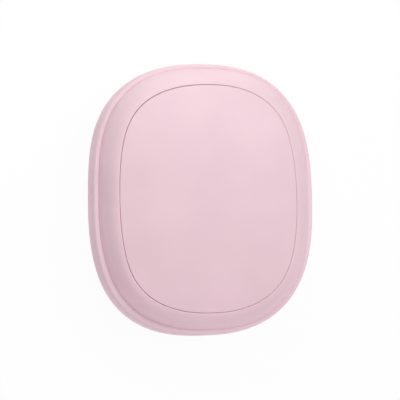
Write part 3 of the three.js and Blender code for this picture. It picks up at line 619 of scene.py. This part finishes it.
def cell_wrap():
    """Blue shrink wrap, drawn tight, with faint creases along the can"""
    surface = Surface("cell_wrap", 0.34).set(Coat_Weight=0.4)
    creases = surface.noise(240, 3, (1, 0.15, 1))
    surface.colour(surface.ramp(creases, (0.3, (0.042, 0.19, 0.42)), (0.7, (0.06, 0.24, 0.52))))
    surface.rough(surface.noise(scale=900, detail=3), 0.28, 0.42)
    surface.bump(0.3, (creases, 0.00004))
    return surface.material


def chip_capacitor():
    """Tan ceramic between two tinned ends"""
    surface = Surface("capacitor_ceramic", 0.42)
    grain = surface.noise(scale=1600, detail=3)
    body = surface.ramp(grain, (0.3, (0.42, 0.29, 0.15)), (0.7, (0.5, 0.35, 0.19)))
    ends = surface.outer_share("X", 0.3)
    surface.colour(surface.mixed(ends, body, (0.66, 0.66, 0.65)))
    surface.links.new(ends, surface.shader.inputs["Metallic"])
    surface.rough(grain, 0.34, 0.5)
    surface.bump(0.4, (grain, 0.000012), (ends, 0.00004))
    return surface.material


shell_pink = moulded("soft_pink_shell", SOFT_PINK, 0.55)
# The rear shell's pink, with the painted highlight on its lip
rear_pink = moulded("soft_pink_lip_painted_highlight", SOFT_PINK, 0.52, highlight_colour=PAINTED_HIGHLIGHT_PINK)
plate_pink = moulded("soft_pink_plate", SOFT_PINK, 0.5)
button_pink = moulded("soft_pink_button", shade(SOFT_PINK, 0.95), 0.45)
ring_paper = moulded("ring_paper", (0.75, 0.74, 0.7), 0.8)
soft_foam = foam("silicone_foam", (0.07, 0.07, 0.08))
seam_pink = moulded("seam_pink", linear(244, 150, 170), 0.7)
socket_steel = metal("socket_steel", (0.62, 0.62, 0.63), 0.3, (1, 0.1, 1))
black_plastic = moulded("black_plastic", (0.012, 0.012, 0.013), 0.5, spread=0.15)
contact_gold = metal("contact_gold", (0.83, 0.62, 0.26), 0.25, (1, 0.1, 1))
guide_clear = clear("guide_clear", (0.86, 0.87, 0.88), 0.25, 0.22)
cell_steel = metal("cell_steel", (0.6, 0.6, 0.59), 0.3)


# ---------------------------------------------------------------------------
# The shells' profile
# ---------------------------------------------------------------------------
REAR_CURVE = ((EDGE_INSET, REAR_SEAM_Z), (0, REAR_SEAM_Z + CROWN_SLOPE * EDGE_INSET), (0, WIDEST_Z))
FLANK_CURVE = ((0, WIDEST_Z), (0, WIDEST_Z + FLANK_BEND * (ROLL_START[1] - WIDEST_Z)), ROLL_START)
ROLL_LEAN = ROLL_START[0] / (ROLL_START[1] - FLANK_CURVE[1][1])
ROLL_CURVE = (ROLL_START, (ROLL_START[0] + ROLL_LEAN * (LIP_Z - ROLL_START[1]), LIP_Z), (ROLL_END, LIP_Z))
SHOULDER_INSET = SKIRT_INSET + DOME_SHOULDER
DOME_SHOULDER_Z = FRONT_SEAM_Z - CROWN_SLOPE * (EDGE_INSET - SHOULDER_INSET)
DOME_CURVE = ((SKIRT_INSET, LIP_Z), (SHOULDER_INSET, DOME_SHOULDER_Z), (EDGE_INSET, FRONT_SEAM_Z))


def profile(*runs):
    """Runs of (inset, z) points as one list, without doubles"""
    spots = []
    for run in runs:
        for spot in np.atleast_2d(run):
            if not spots or np.linalg.norm(spot - spots[-1]) > DOUBLE:
                spots.append(spot)
    return spots


def rear_inset(z):
    """How far in the rear shell's outer face is at a height up to the widest"""
    curve = bend(*REAR_CURVE, 400)
    return np.interp(z, curve[:, 1], curve[:, 0])


def flank_x(y, z):
    return outline_x(y, rear_inset(z))


def flank_y(x, z):
    return outline_y(x, rear_inset(z))


# ---------------------------------------------------------------------------
# Openings: cutters whose rim flares out to round the edge of each hole
# ---------------------------------------------------------------------------
BUTTON_FLARE = 0.22
LAMP_FLARE = 0.15
PORT_FLARE = 0.3
FLANK_CUT = 2.6
PORT_CUT = 2.8
CUT_PAST = 2
RIM_PAST = 0.02


def rim_rows(shape, deep, flare, surface, far):
    """Rows of (u, v, reach) from inside the wall out past the face, flared at the face"""
    closed = np.vstack([shape[-1], shape, shape[0]])
    along = closed[2:] - closed[:-2]
    normal = np.column_stack([along[:, 1], -along[:, 0]])
    normal /= np.linalg.norm(normal, axis=1)[:, None]
    rows = [np.column_stack([shape, np.full(len(shape), deep)])]
    for turn in np.linspace(0, math.pi / 2, CORNER_STEPS + 1):
        grown = shape + normal * flare * (1 - math.cos(turn))
        rows.append(np.column_stack([grown, surface(grown) - flare * (1 - math.sin(turn))]))
    grown = shape + normal * (flare + RIM_PAST)
    rows.append(np.column_stack([grown, surface(grown) + RIM_PAST]))
    rows.append(np.column_stack([grown, np.full(len(shape), far)]))
    return rows


def flank_cutter(shape, y, flare):
    """A hole through the +X flank, round (y, PORT_Z)"""
    def surface(spots):
        return flank_x(spots[:, 0] + y, spots[:, 1] + PORT_Z)

    deep = float(np.min(surface(shape))) - FLANK_CUT
    rows = rim_rows(shape, deep, flare, surface, HALF_WIDTH + CUT_PAST)
    return loft([across_x(row, row[:, 2], y) for row in rows])


def port_cutter(shape):
    """A hole through the -Y end, round (0, PORT_Z)"""
    def surface(spots):
        return flank_y(spots[:, 0], spots[:, 1] + PORT_Z)

    rows = rim_rows(shape, HALF_LENGTH - PORT_CUT, PORT_FLARE, surface, HALF_LENGTH + CUT_PAST)
    return loft([across_y(row, -row[:, 2]) for row in rows])


def turned(profile_points, x, y):
    """A round body from (radius, z) points"""
    return loft([np.column_stack([circle(radius) + [x, y], np.full(SMALL_SIDES, z)])
                 for radius, z in profile_points])


BOSS_X = HOLDER_HALF_WIDTH + BOSS_GAP + BOSS_RADIUS
BOSS_Y = float(outline_y(BOSS_X, BOSS_INSET))
BOSS_SPOTS = [(BOSS_X, BOSS_Y), (-BOSS_X, BOSS_Y), (-BOSS_X, -BOSS_Y), (BOSS_X, -BOSS_Y)]


def post_spots():
    """The three board posts, under the board screws"""
    spots = []
    for index in range(3):
        low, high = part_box(f"board_screw_{index + 1}")
        spots.append(((low[0] + high[0]) / 2 / MM, (low[1] + high[1]) / 2 / MM))
    return spots


def paint_rows(piece, chosen):
    """The bands between chosen rings are a deeper pink, where light has bounced between pink faces"""
    piece.data.materials.append(seam_pink)
    for row, (low, high) in enumerate(zip(chosen, chosen[1:])):
        if low and high:
            for face in range(row * OUTLINE_SIDES, (row + 1) * OUTLINE_SIDES):
                piece.data.polygons[face].material_index = 1


def paint_groove(shell, stations, seam_z):
    """The groove's floor and its wall on the shell"""
    paint_rows(shell, [
        abs(z - seam_z) < GROOVE_DEPTH + NEAR and SEAM_INSET - NEAR < inset < PANEL_INSET
        for inset, z in stations])


def paint_wall(plate, stations):
    """The panel's wall in the groove"""
    paint_rows(plate, [scale == 1 and inset <= PANEL_INSET + SAME for inset, z, scale in stations])


def rear_shell():
    """The shell from the rear panel's seam round the flank to the lip, with bosses, posts and openings"""
    wall_foot = (SEAM_INSET, REAR_SEAT_Z)
    seam_corner = (SEAM_INSET, REAR_SEAM_Z)
    crease_inset = SKIRT_INSET - CREASE_FIT
    stations = profile(
        wall_foot, (REAR_LEDGE_INSET, REAR_SEAT_Z), (REAR_LEDGE_INSET, REAR_SEAM_Z + GROOVE_DEPTH),
        (SEAM_INSET, REAR_SEAM_Z + GROOVE_DEPTH), (SEAM_INSET, REAR_EDGE_Z),
        rounded(wall_foot, seam_corner, (EDGE_INSET - 1, REAR_SEAM_Z + CROWN_SLOPE), SEAM_EDGE),
        bend(*REAR_CURVE, 30)[1:], bend(*FLANK_CURVE, 12), bend(*ROLL_CURVE, 12),
        rounded((ROLL_END, LIP_Z), (LIP_INSET, LIP_Z), (LIP_INSET, SKIRT_Z), LIP_EDGE),
        (LIP_INSET, CREASE_Z), (crease_inset, CREASE_Z), (crease_inset, SKIRT_Z),
        inside(*FLANK_CURVE, 10)[6::-1], inside(*REAR_CURVE, 24)[23:5:-1],
        (FLANGE_INSET, REAR_FLANGE_TOP), (FLANGE_INSET, REAR_SEAT_Z))
    stations = [(inset, z) for inset, z in stations
                if z > REAR_FLANGE_TOP or inset >= FLANGE_INSET - SAME or inset <= SEAM_INSET + SAME]
    shell = add_mesh("rear_case", pebble(stations, True), rear_pink, "case")
    paint_groove(shell, stations, REAR_SEAM_Z)
    bosses = [turned([(BOSS_RADIUS, REAR_SEAT_Z + 0.4), (BOSS_RADIUS, BOSS_JOINT_Z - BOSS_BEVEL),
                      (BOSS_RADIUS - BOSS_BEVEL, BOSS_JOINT_Z)], x, y) for x, y in BOSS_SPOTS]
    bosses += [turned([(POST_RADIUS, REAR_FLANGE_TOP - 0.6), (POST_RADIUS, BOARD_Z - BOSS_BEVEL),
                       (POST_RADIUS - BOSS_BEVEL, BOARD_Z)], x, y) for x, y in post_spots()]
    combine(shell, scratch("bosses", join(bosses)), "UNION")
    cuts = [turned([(RECESS_RADIUS, REAR_SEAT_Z - 1), (RECESS_RADIUS, RECESS_TOP_Z),
                    (RUNNING_HOLE, RECESS_TOP_Z), (RUNNING_HOLE, BOSS_JOINT_Z + 1)], x, y)
            for x, y in BOSS_SPOTS]
    cuts += [turned([(SCREW_HOLE, BOARD_TOP_Z - BOARD_SCREW_REACH), (SCREW_HOLE, BOARD_Z + 1)], x, y)
             for x, y in post_spots()]
    cuts.append(flank_cutter(pill(BUTTON_SIZE, BUTTON_CLEARANCE), 0, BUTTON_FLARE))
    cuts.append(port_cutter(pill(PORT_SIZE, PORT_CLEARANCE)))
    cuts += [flank_cutter(circle(PIN_RADIUS + PIN_CLEARANCE), y, LAMP_FLARE) for y in LAMP_SPOTS]
    combine(shell, scratch("cuts", join(cuts)), "DIFFERENCE")
    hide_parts("rear_shell")


def front_shell():
    """The domed band from the skirt to the front panel's seam, with bosses that take the case screws"""
    seam_corner = (SEAM_INSET, FRONT_SEAM_Z)
    inner = inside(*DOME_CURVE, 60)
    inner = inner[inner[:, 1] < FRONT_FLANGE_Z][::-3]
    stations = profile(
        (SKIRT_INSET, SKIRT_Z), (SKIRT_INSET, LIP_Z - 0.4), bend(*DOME_CURVE, 34)[:-1],
        rounded((EDGE_INSET - 1, FRONT_SEAM_Z - CROWN_SLOPE), seam_corner, (SEAM_INSET, FRONT_SEAT_Z),
                SEAM_EDGE),
        (SEAM_INSET, FRONT_EDGE_Z), (SEAM_INSET, FRONT_SEAM_Z - GROOVE_DEPTH),
        (FRONT_LEDGE_INSET, FRONT_SEAM_Z - GROOVE_DEPTH), (FRONT_LEDGE_INSET, FRONT_SEAT_Z),
        (FLANGE_INSET, FRONT_SEAT_Z), (FLANGE_INSET, FRONT_FLANGE_Z),
        inner, (SKIRT_INSET + SHELL_WALL, SKIRT_Z))
    shell = add_mesh("front_case", pebble(stations, True), shell_pink, "case")
    paint_groove(shell, stations, FRONT_SEAM_Z)
    bosses = [turned([(BOSS_RADIUS - BOSS_BEVEL, BOSS_JOINT_Z), (BOSS_RADIUS, BOSS_JOINT_Z + BOSS_BEVEL),
                      (BOSS_RADIUS, FRONT_SEAT_Z - 0.4)], x, y) for x, y in BOSS_SPOTS]
    combine(shell, scratch("bosses", join(bosses)), "UNION")
    cuts = [turned([(SCREW_HOLE, BOSS_JOINT_Z - 1), (SCREW_HOLE, RECESS_TOP_Z + CASE_SCREW_REACH)], x, y)
            for x, y in BOSS_SPOTS]
    combine(shell, scratch("cuts", join(cuts)), "DIFFERENCE")
    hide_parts("front_shell")


def front_plate():
    """The crowned heating panel, from its flat back over the rim to the middle"""
    shares = np.linspace(1, PANEL_CORE, 44)[1:]
    rim = rounded((PANEL_INSET, FRONT_PLATE_Z), (PANEL_INSET, FRONT_SEAM_Z),
                  (PANEL_INSET + 1, FRONT_SEAM_Z + FRONT_RIM_SLOPE), SEAM_EDGE)
    stations = [(PANEL_INSET, FRONT_PLATE_Z, PANEL_CORE), (PANEL_INSET, FRONT_PLATE_Z, 1),
                (PANEL_INSET, FRONT_EDGE_Z, 1)]
    stations += [(inset, z, 1) for inset, z in rim]
    stations += [(PANEL_INSET + SEAM_EDGE, FRONT_SEAM_Z + FRONT_CROWN * (1 - share ** FRONT_CROWN_POWER),
                  share) for share in shares]
    plate = add_mesh("front_panel", pebble(stations, gap=1.0), plate_pink, "case")
    paint_wall(plate, stations)
    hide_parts("front_plate")


def rear_plate():
    """The rear heating panel, flat in the middle and crowned towards its rim"""
    edge = PANEL_INSET + SEAM_EDGE
    shares = np.linspace(REAR_FLAT_SHARE, 1, 20)
    crown = [(edge, REAR_SEAM_Z * ((share - REAR_FLAT_SHARE) / (1 - REAR_FLAT_SHARE)) ** 2, share)
             for share in shares[:-1]]
    rim = rounded((PANEL_INSET + 1, REAR_SEAM_Z - REAR_RIM_SLOPE), (PANEL_INSET, REAR_SEAM_Z),
                  (PANEL_INSET, REAR_PLATE_TOP), SEAM_EDGE)
    stations = [(edge, 0, PANEL_CORE), (edge, 0, 0.3), (edge, 0, 0.59)] + crown
    stations += [(inset, z, 1) for inset, z in rim]
    stations += [(PANEL_INSET, REAR_EDGE_Z, 1), (PANEL_INSET, REAR_PLATE_TOP, 1),
                 (PANEL_INSET, REAR_PLATE_TOP, PANEL_CORE)]
    plate = add_mesh("rear_panel", pebble(stations), plate_pink, "case")
    paint_wall(plate, stations)
    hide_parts("rear_plate")


def power_button():
    """A pill cap whose face follows the flank, on a flange and a stem"""
    low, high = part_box("power_button")
    back_x = low[0] / MM
    flange_x = back_x + BUTTON_STEM + BUTTON_FLANGE
    dish_share = 0.82

    def rounds(radius):
        return np.roll(circle(radius, HOLE_SIDES), HOLE_SIDES // 4 + 12, axis=0)

    def face(spots):
        return flank_x(spots[:, 0], spots[:, 1] + PORT_Z)

    rim, cap = pill(BUTTON_SIZE, BUTTON_FLANGE_RIM), pill(BUTTON_SIZE)
    rows = [across_x(rounds(STEM_RADIUS - 0.15), back_x), across_x(rounds(STEM_RADIUS), back_x + 0.15),
            across_x(rounds(STEM_RADIUS), back_x + BUTTON_STEM), across_x(rim, back_x + BUTTON_STEM),
            across_x(rim, flange_x), across_x(cap, flange_x),
            across_x(cap, face(cap) - BUTTON_EDGE - EDGE_ROOM)]
    for turn in np.linspace(0, math.pi / 2, 7):
        shape = pill(BUTTON_SIZE, -BUTTON_EDGE * (1 - math.cos(turn)))
        rows.append(across_x(shape, face(shape) - BUTTON_EDGE * (1 - math.sin(turn))))
    for share in np.linspace(dish_share, 0.02, 14):
        shape = pill(BUTTON_SIZE, -BUTTON_EDGE) * share
        dish = BUTTON_DISH * (1 - (share / dish_share) ** 2) ** 2
        rows.append(across_x(shape, face(shape) - dish))
    button = add_mesh("press_button", loft(rows), button_pink, "button")
    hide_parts("power_button")


def box_part(low, high, edge):
    """A block with bevelled long edges, drawn along Y"""
    width, height = high[0] - low[0], high[2] - low[2]
    ring = np.array([(edge, 0), (width - edge, 0), (width, edge), (width, height - edge),
                     (width - edge, height), (edge, height), (0, height - edge), (0, edge)])
    middle = np.array([width / 2, height / 2])
    shrink = (np.array([width, height]) - 2 * edge) / [width, height]
    rows = []
    for y, share in ((low[1], shrink), (low[1] + edge, 1), (high[1] - edge, 1), (high[1], shrink)):
        spots = (ring - middle) * share + middle
        rows.append(np.column_stack([spots[:, 0] + low[0], np.full(len(ring), y), spots[:, 1] + low[2]]))
    return loft(rows)


def drawn(stations, ring=False):
    """The port's pill outline at (inset, y) stations"""
    return loft([across_y(pill(PORT_SIZE, -inset), y) for inset, y in stations], ring)


def socket_shell():
    """A folded steel shell with a rolled mouth, and two windows for the plug's springs"""
    low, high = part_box("socket_shell")
    mouth, back, top = low[1] / MM, high[1] / MM, high[2] / MM
    half_wall = SOCKET_WALL / 2
    edge = 0.05
    lip = [(half_wall - half_wall * math.sin(turn), mouth + half_wall - half_wall * math.cos(turn))
           for turn in np.linspace(-math.pi / 2, math.pi / 2, 9)]
    stations = lip + [(0, back - edge), (edge, back), (SOCKET_WALL - edge, back), (SOCKET_WALL, back - edge)]
    shell = add_mesh("port_shell", drawn(stations, True), socket_steel, "case")
    window_x, half_window = 1.9, 0.55
    windows = [box_part((x - half_window, mouth + 2.4, top - 0.5),
                        (x + half_window, mouth + 4.6, top + 0.3), 0.1) for x in (-window_x, window_x)]
    combine(shell, scratch("windows", join(windows)), "DIFFERENCE")
    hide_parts("socket_shell")


def socket_tongue():
    """The insulator, its tongue with a rounded nose, and the twelve contacts on each side of it"""
    low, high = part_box("socket_tongue")
    front, back = low[1] / MM, high[1] / MM
    floor_from = back - SOCKET_FLOOR
    floor = drawn([(0.55, floor_from), (0.4, floor_from + 0.15), (0.4, back - 0.1), (0.5, back)])
    insulator = add_mesh("port_insulator", floor, black_plastic, "case")
    tongue = box_part((-TONGUE_HALF_WIDTH, front, PORT_Z - TONGUE_HALF_HEIGHT),
                      (TONGUE_HALF_WIDTH, back - 0.6, PORT_Z + TONGUE_HALF_HEIGHT), 0.15)
    combine(insulator, scratch("tongue", tongue), "UNION")
    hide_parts("socket_tongue")
    contact_pitch, half_width, half_rise = 0.5, 0.13, 0.03
    bars = []
    for side in (-1, 1):
        face = PORT_Z + side * TONGUE_HALF_HEIGHT
        for index in range(12):
            x = (index - 5.5) * contact_pitch
            bars.append(box_part((x - half_width, front + 0.4, face - half_rise),
                                 (x + half_width, floor_from + 0.2, face + half_rise), 0.015))
    add_mesh("port_contacts", join(bars), contact_gold, "case")


def light_guide():
    """The clear bar over the four lamps, and the pins that end in the flank, each with a soft dome"""
    low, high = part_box("light_guide")
    bar_x = low[0] / MM
    lens_z = low[2] / MM
    bar = box_part((bar_x, low[1] / MM, lens_z),
                   (bar_x + GUIDE_DEPTH, high[1] / MM, lens_z + GUIDE_BAR), 0.2)
    guide = add_mesh("lamp_guide", bar, guide_clear, "case")
    dome_room, dome_rise = 0.3, 0.28
    pins = []
    for y in LAMP_SPOTS:
        tip = float(flank_x(y, PORT_Z)) - PIN_RECESS
        stations = [(PIN_RADIUS, bar_x + 1.5), (PIN_RADIUS, tip - dome_room)]
        stations += [(PIN_RADIUS * share, tip - dome_room + dome_rise * math.sqrt(1 - share * share))
                     for share in (0.94, 0.8, 0.6, 0.35, 0.1)]
        pins.append(loft([across_x(circle(radius), x, y) for radius, x in stations]))
    combine(guide, scratch("pins", join(pins)), "UNION")
    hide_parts("light_guide")


def turned_along_y(spots, x, z, ring=False):
    """A round body from (radius, y) points, on an axis along Y"""
    return loft([across_y(circle(radius, CELL_SIDES), y, x, z) for radius, y in spots], ring)


def cell(node, wrap):
    """A cylindrical cell: wrap drawn over both ends, with a rolled groove below the cap, then the steel
    cap and foot, and the insulating ring round the cap"""
    low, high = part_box(node)
    radius = (high[0] - low[0]) / 2 / MM
    x, z = (high[0] + low[0]) / 2 / MM, (high[2] + low[2]) / 2 / MM
    cap, base = low[1] / MM, high[1] / MM
    shoulder, hem = cap + 0.9, base - 0.05
    turn = 0.7
    body = [(radius - 2.4, shoulder),
            *bend((radius - turn, shoulder), (radius, shoulder), (radius, shoulder + turn), 6),
            (radius, shoulder + 1.9),
            *bend((radius - 0.08, shoulder + 2.1), (radius - 0.75, shoulder + 2.6),
                  (radius - 0.08, shoulder + 3.1), 6),
            (radius, shoulder + 3.3), (radius, base - 0.8),
            *bend((radius, base - turn), (radius, hem), (radius - turn, hem), 6),
            (radius - 1.4, hem)]
    sleeve = add_mesh(f"{node}_wrap", turned_along_y(body, x, z), wrap, "case")
    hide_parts(node)
    metal_cap = [(2.6, cap), (2.9, cap + 0.08), (3.05, cap + 0.25), (3.05, shoulder - 0.25),
                 (3.3, shoulder - 0.1), (5.6, shoulder - 0.08), (5.8, shoulder + 0.05)]
    foot = [(radius - 1.7, base - 0.2), (radius - 1.6, base - 0.06), (radius - 1.9, base), (1, base)]
    ends = join([turned_along_y(metal_cap, x, z), turned_along_y(foot, x, z)])
    add_mesh(f"{node}_ends", ends, cell_steel, "case")
    ring = [(3.5, shoulder - 0.14), (6.4, shoulder - 0.14), (6.5, shoulder - 0.06), (3.5, shoulder - 0.06)]
    add_mesh(f"{node}_ring", turned_along_y(ring, x, z, True), ring_paper, "case")


def corner_ring(half_x, half_y, corner, z):
    """A rectangle's outline with round corners, at a height"""
    spots = []
    for quarter, (side_x, side_y) in enumerate(((1, 1), (-1, 1), (-1, -1), (1, -1))):
        for turn in np.linspace(quarter, quarter + 1, 8) * math.pi / 2:
            spots.append((side_x * (half_x - corner) + corner * math.cos(turn),
                          side_y * (half_y - corner) + corner * math.sin(turn), z))
    return np.array(spots)


def foam_pad(node, material):
    """A die-cut foam pad, with edges that the cut has drawn in and a face that swells to the middle"""
    low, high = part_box(node)
    half_x, half_y = high[0] / MM, high[1] / MM
    bottom, top = low[2] / MM, high[2] / MM
    stations = [(9, 0), (4, 0.03), (1.2, 0.08), (0.35, 0.2), (0.08, 0.36), (0, 0.5), (0.08, 0.64),
                (0.35, 0.8), (1.2, 0.92), (4, 0.97), (9, 1)]
    rows = [corner_ring(half_x - inset, half_y - inset, max(2.5 - inset * 0.2, 0.6),
                        bottom + (top - bottom) * share) for inset, share in stations]
    pad = add_mesh(f"{node}_soft", loft(rows), material, "case")
    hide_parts(node)


def dress_solids():
    """A finish for each solid of the part that is shown as it is, by its slot in the record"""
    finishes = {
        "adhesive": foam("foam_tape", (0.02, 0.02, 0.022), 3600, 0.00006),
        "heater_film": foil("polyimide_film", (0.48, 0.13, 0.012), 0.3, 0.5),
        "heater_track": metal("etched_foil", (0.52, 0.2, 0.09), 0.36),
        "holder": moulded("holder_plastic", (0.79, 0.77, 0.73), 0.6),
        "nickel": metal("nickel_strip", (0.6, 0.59, 0.55), 0.34, (0.1, 1, 1)),
        "board": circuit_board(),
        "screw": metal("zinc_plate", (0.5, 0.52, 0.54), 0.32, (1, 1, 0.2)),
        "black_plastic": black_plastic,
        "lamp": clear("lamp_body", (0.88, 0.86, 0.76), 0.15, 0.3),
        "ferrite": foam("ferrite", (0.045, 0.045, 0.055), 5200, 0.00002),
        "ceramic_tan": chip_capacitor(),
        "lead_red": silicone("lead_red", (0.45, 0.02, 0.02)),
        "lead_black": silicone("lead_black", (0.012, 0.012, 0.012)),
        "lead_white": silicone("lead_white", (0.81, 0.79, 0.75)),
    }
    for row in frame["record"]["subparts"]:
        solid = frame["nodes"][row["node"]]
        if not solid.hide_render:
            for place in solid.material_slots:
                place.material = finishes[row["material_slot"]]


# ---------------------------------------------------------------------------
# Floor, lights and camera
# ---------------------------------------------------------------------------
FLOOR_HALF = 3.0
FLOOR_Z = -0.00005
FLOOR_WHITE = 0.95
WHITE = (1, 1, 1, 1)
WORLD_PINK = (1.0, 0.9, 0.94)
WORLD_STRENGTH = 0.505
MIDDLE = Vector((0, 0, WIDEST_Z * MM))

# Name, azimuth from +X towards +Y and elevation in degrees, distance and width in metres, power, colour
LIGHTS = (
    ("key", 105, 45, 0.22, 0.12, 0.136, (0.84, 1.0, 0.92)),
    ("side", 35, 55, 1.2, 0.7, 5.1, (0.88, 1.0, 0.95)),
    ("low", -90, 5, 1.2, 0.7, 4.0, (0.88, 1.0, 0.98)),
)


def seen_by(tree, *rays):
    """1 for the given kinds of rays, 0 for the others"""
    path = add_node(tree, "LightPath")
    share = path.outputs[f"Is {rays[0]} Ray"]
    for ray in rays[1:]:
        share = calculate(tree, "MAXIMUM", share, path.outputs[f"Is {ray} Ray"])
    return share


def mix_shaders(tree, share, first, second, output):
    """The output shows the second shader by its share, over the first"""
    mix = add_node(tree, "MixShader")
    tree.links.new(share, mix.inputs["Fac"])
    tree.links.new(first.outputs[0], mix.inputs[1])
    tree.links.new(second.outputs[0], mix.inputs[2])
    tree.links.new(mix.outputs[0], output.inputs["Surface"])


def stage_floor():
    """A floor that looks white, and takes a faint shadow"""
    mesh = bpy.data.meshes.new("floor")
    corners = [(x * FLOOR_HALF, y * FLOOR_HALF, FLOOR_Z) for x, y in ((-1, -1), (1, -1), (1, 1), (-1, 1))]
    mesh.from_pydata(corners, [], [(0, 1, 2, 3)])
    floor = bpy.data.objects.new("floor", mesh)
    bpy.context.scene.collection.objects.link(floor)
    material = bpy.data.materials.new("floor_white")
    material.use_nodes = True
    tree = material.node_tree
    tree.nodes.clear()
    output = add_node(tree, "OutputMaterial")
    matte = add_node(tree, "BsdfDiffuse", Color=(FLOOR_WHITE, FLOOR_WHITE, FLOOR_WHITE, 1))
    plain = add_node(tree, "Emission", Color=WHITE)
    share = calculate(tree, "MULTIPLY", seen_by(tree, "Camera", "Glossy", "Transmission"), FLOOR_WHITE)
    mix_shaders(tree, share, matte, plain, output)
    mesh.materials.append(material)


def light_world():
    """A soft pink light from all round, behind a white background"""
    world = bpy.data.worlds.new("studio")
    bpy.context.scene.world = world
    world.use_nodes = True
    tree = world.node_tree
    tree.nodes.clear()
    output = add_node(tree, "OutputWorld")
    fill = add_node(tree, "Background", Color=(*WORLD_PINK, 1), Strength=WORLD_STRENGTH)
    plain = add_node(tree, "Background", Color=WHITE, Strength=1.0)
    mix_shaders(tree, seen_by(tree, "Camera", "Transmission"), fill, plain, output)


def area_light(name, azimuth, elevation, distance, width, power, colour):
    """A square lamp that faces the object's middle"""
    azimuth, elevation = math.radians(azimuth), math.radians(elevation)
    level = distance * math.cos(elevation)
    place = Vector((level * math.cos(azimuth), level * math.sin(azimuth), distance * math.sin(elevation)))
    light = bpy.data.lights.new(name, "AREA")
    light.color = colour
    light.shape = "RECTANGLE"
    light.size = light.size_y = width
    light.energy = power
    lamp = bpy.data.objects.new(name, light)
    lamp.location = place
    lamp.rotation_euler = (MIDDLE - place).to_track_quat("-Z", "Y").to_euler()
    bpy.context.scene.collection.objects.link(lamp)


def add_lights():
    light_world()
    for light in LIGHTS:
        area_light(*light)


# The camera's turn and place come from a fit of the outlines to the photograph
VIEW_YAW = math.radians(13.4)
VIEW_PITCH = math.radians(-1.6)
VIEW_ROLL = math.radians(1.21)
VIEW_DISTANCE = 0.389
PIXELS_PER_MM = 3.0094
IMAGE_WIDTH = 400
SENSOR_WIDTH = 36.0
CENTRE_COLUMN = 200.85
CENTRE_ROW = 199.6


def add_camera():
    turn = (Matrix.Rotation(VIEW_ROLL, 3, "Z") @ Matrix.Rotation(VIEW_PITCH, 3, "X")
            @ Matrix.Rotation(VIEW_YAW, 3, "Y"))
    data = bpy.data.cameras.new("view")
    data.sensor_width = SENSOR_WIDTH
    data.lens = SENSOR_WIDTH * PIXELS_PER_MM * VIEW_DISTANCE / MM / IMAGE_WIDTH
    data.shift_x = (IMAGE_WIDTH / 2 - CENTRE_COLUMN) / IMAGE_WIDTH
    data.shift_y = (CENTRE_ROW - IMAGE_WIDTH / 2) / IMAGE_WIDTH
    data.clip_start = 0.01
    camera = bpy.data.objects.new("view", data)
    back = turn.transposed()
    camera.matrix_world = Matrix.Translation(MIDDLE + back @ Vector((0, 0, VIEW_DISTANCE))) @ back.to_4x4()
    bpy.context.scene.collection.objects.link(camera)
    bpy.context.scene.camera = camera


def set_view():
    bpy.context.scene.view_settings.view_transform = "Standard"


rear_shell()
front_shell()
front_plate()
rear_plate()
power_button()
socket_shell()
socket_tongue()
light_guide()
blue_wrap = cell_wrap()
for node in ("cell_left", "cell_right"):
    cell(node, blue_wrap)
for node in ("front_foam_pad", "rear_foam_pad"):
    foam_pad(node, soft_foam)
dress_solids()
stage_floor()
add_lights()
add_camera()
set_view()
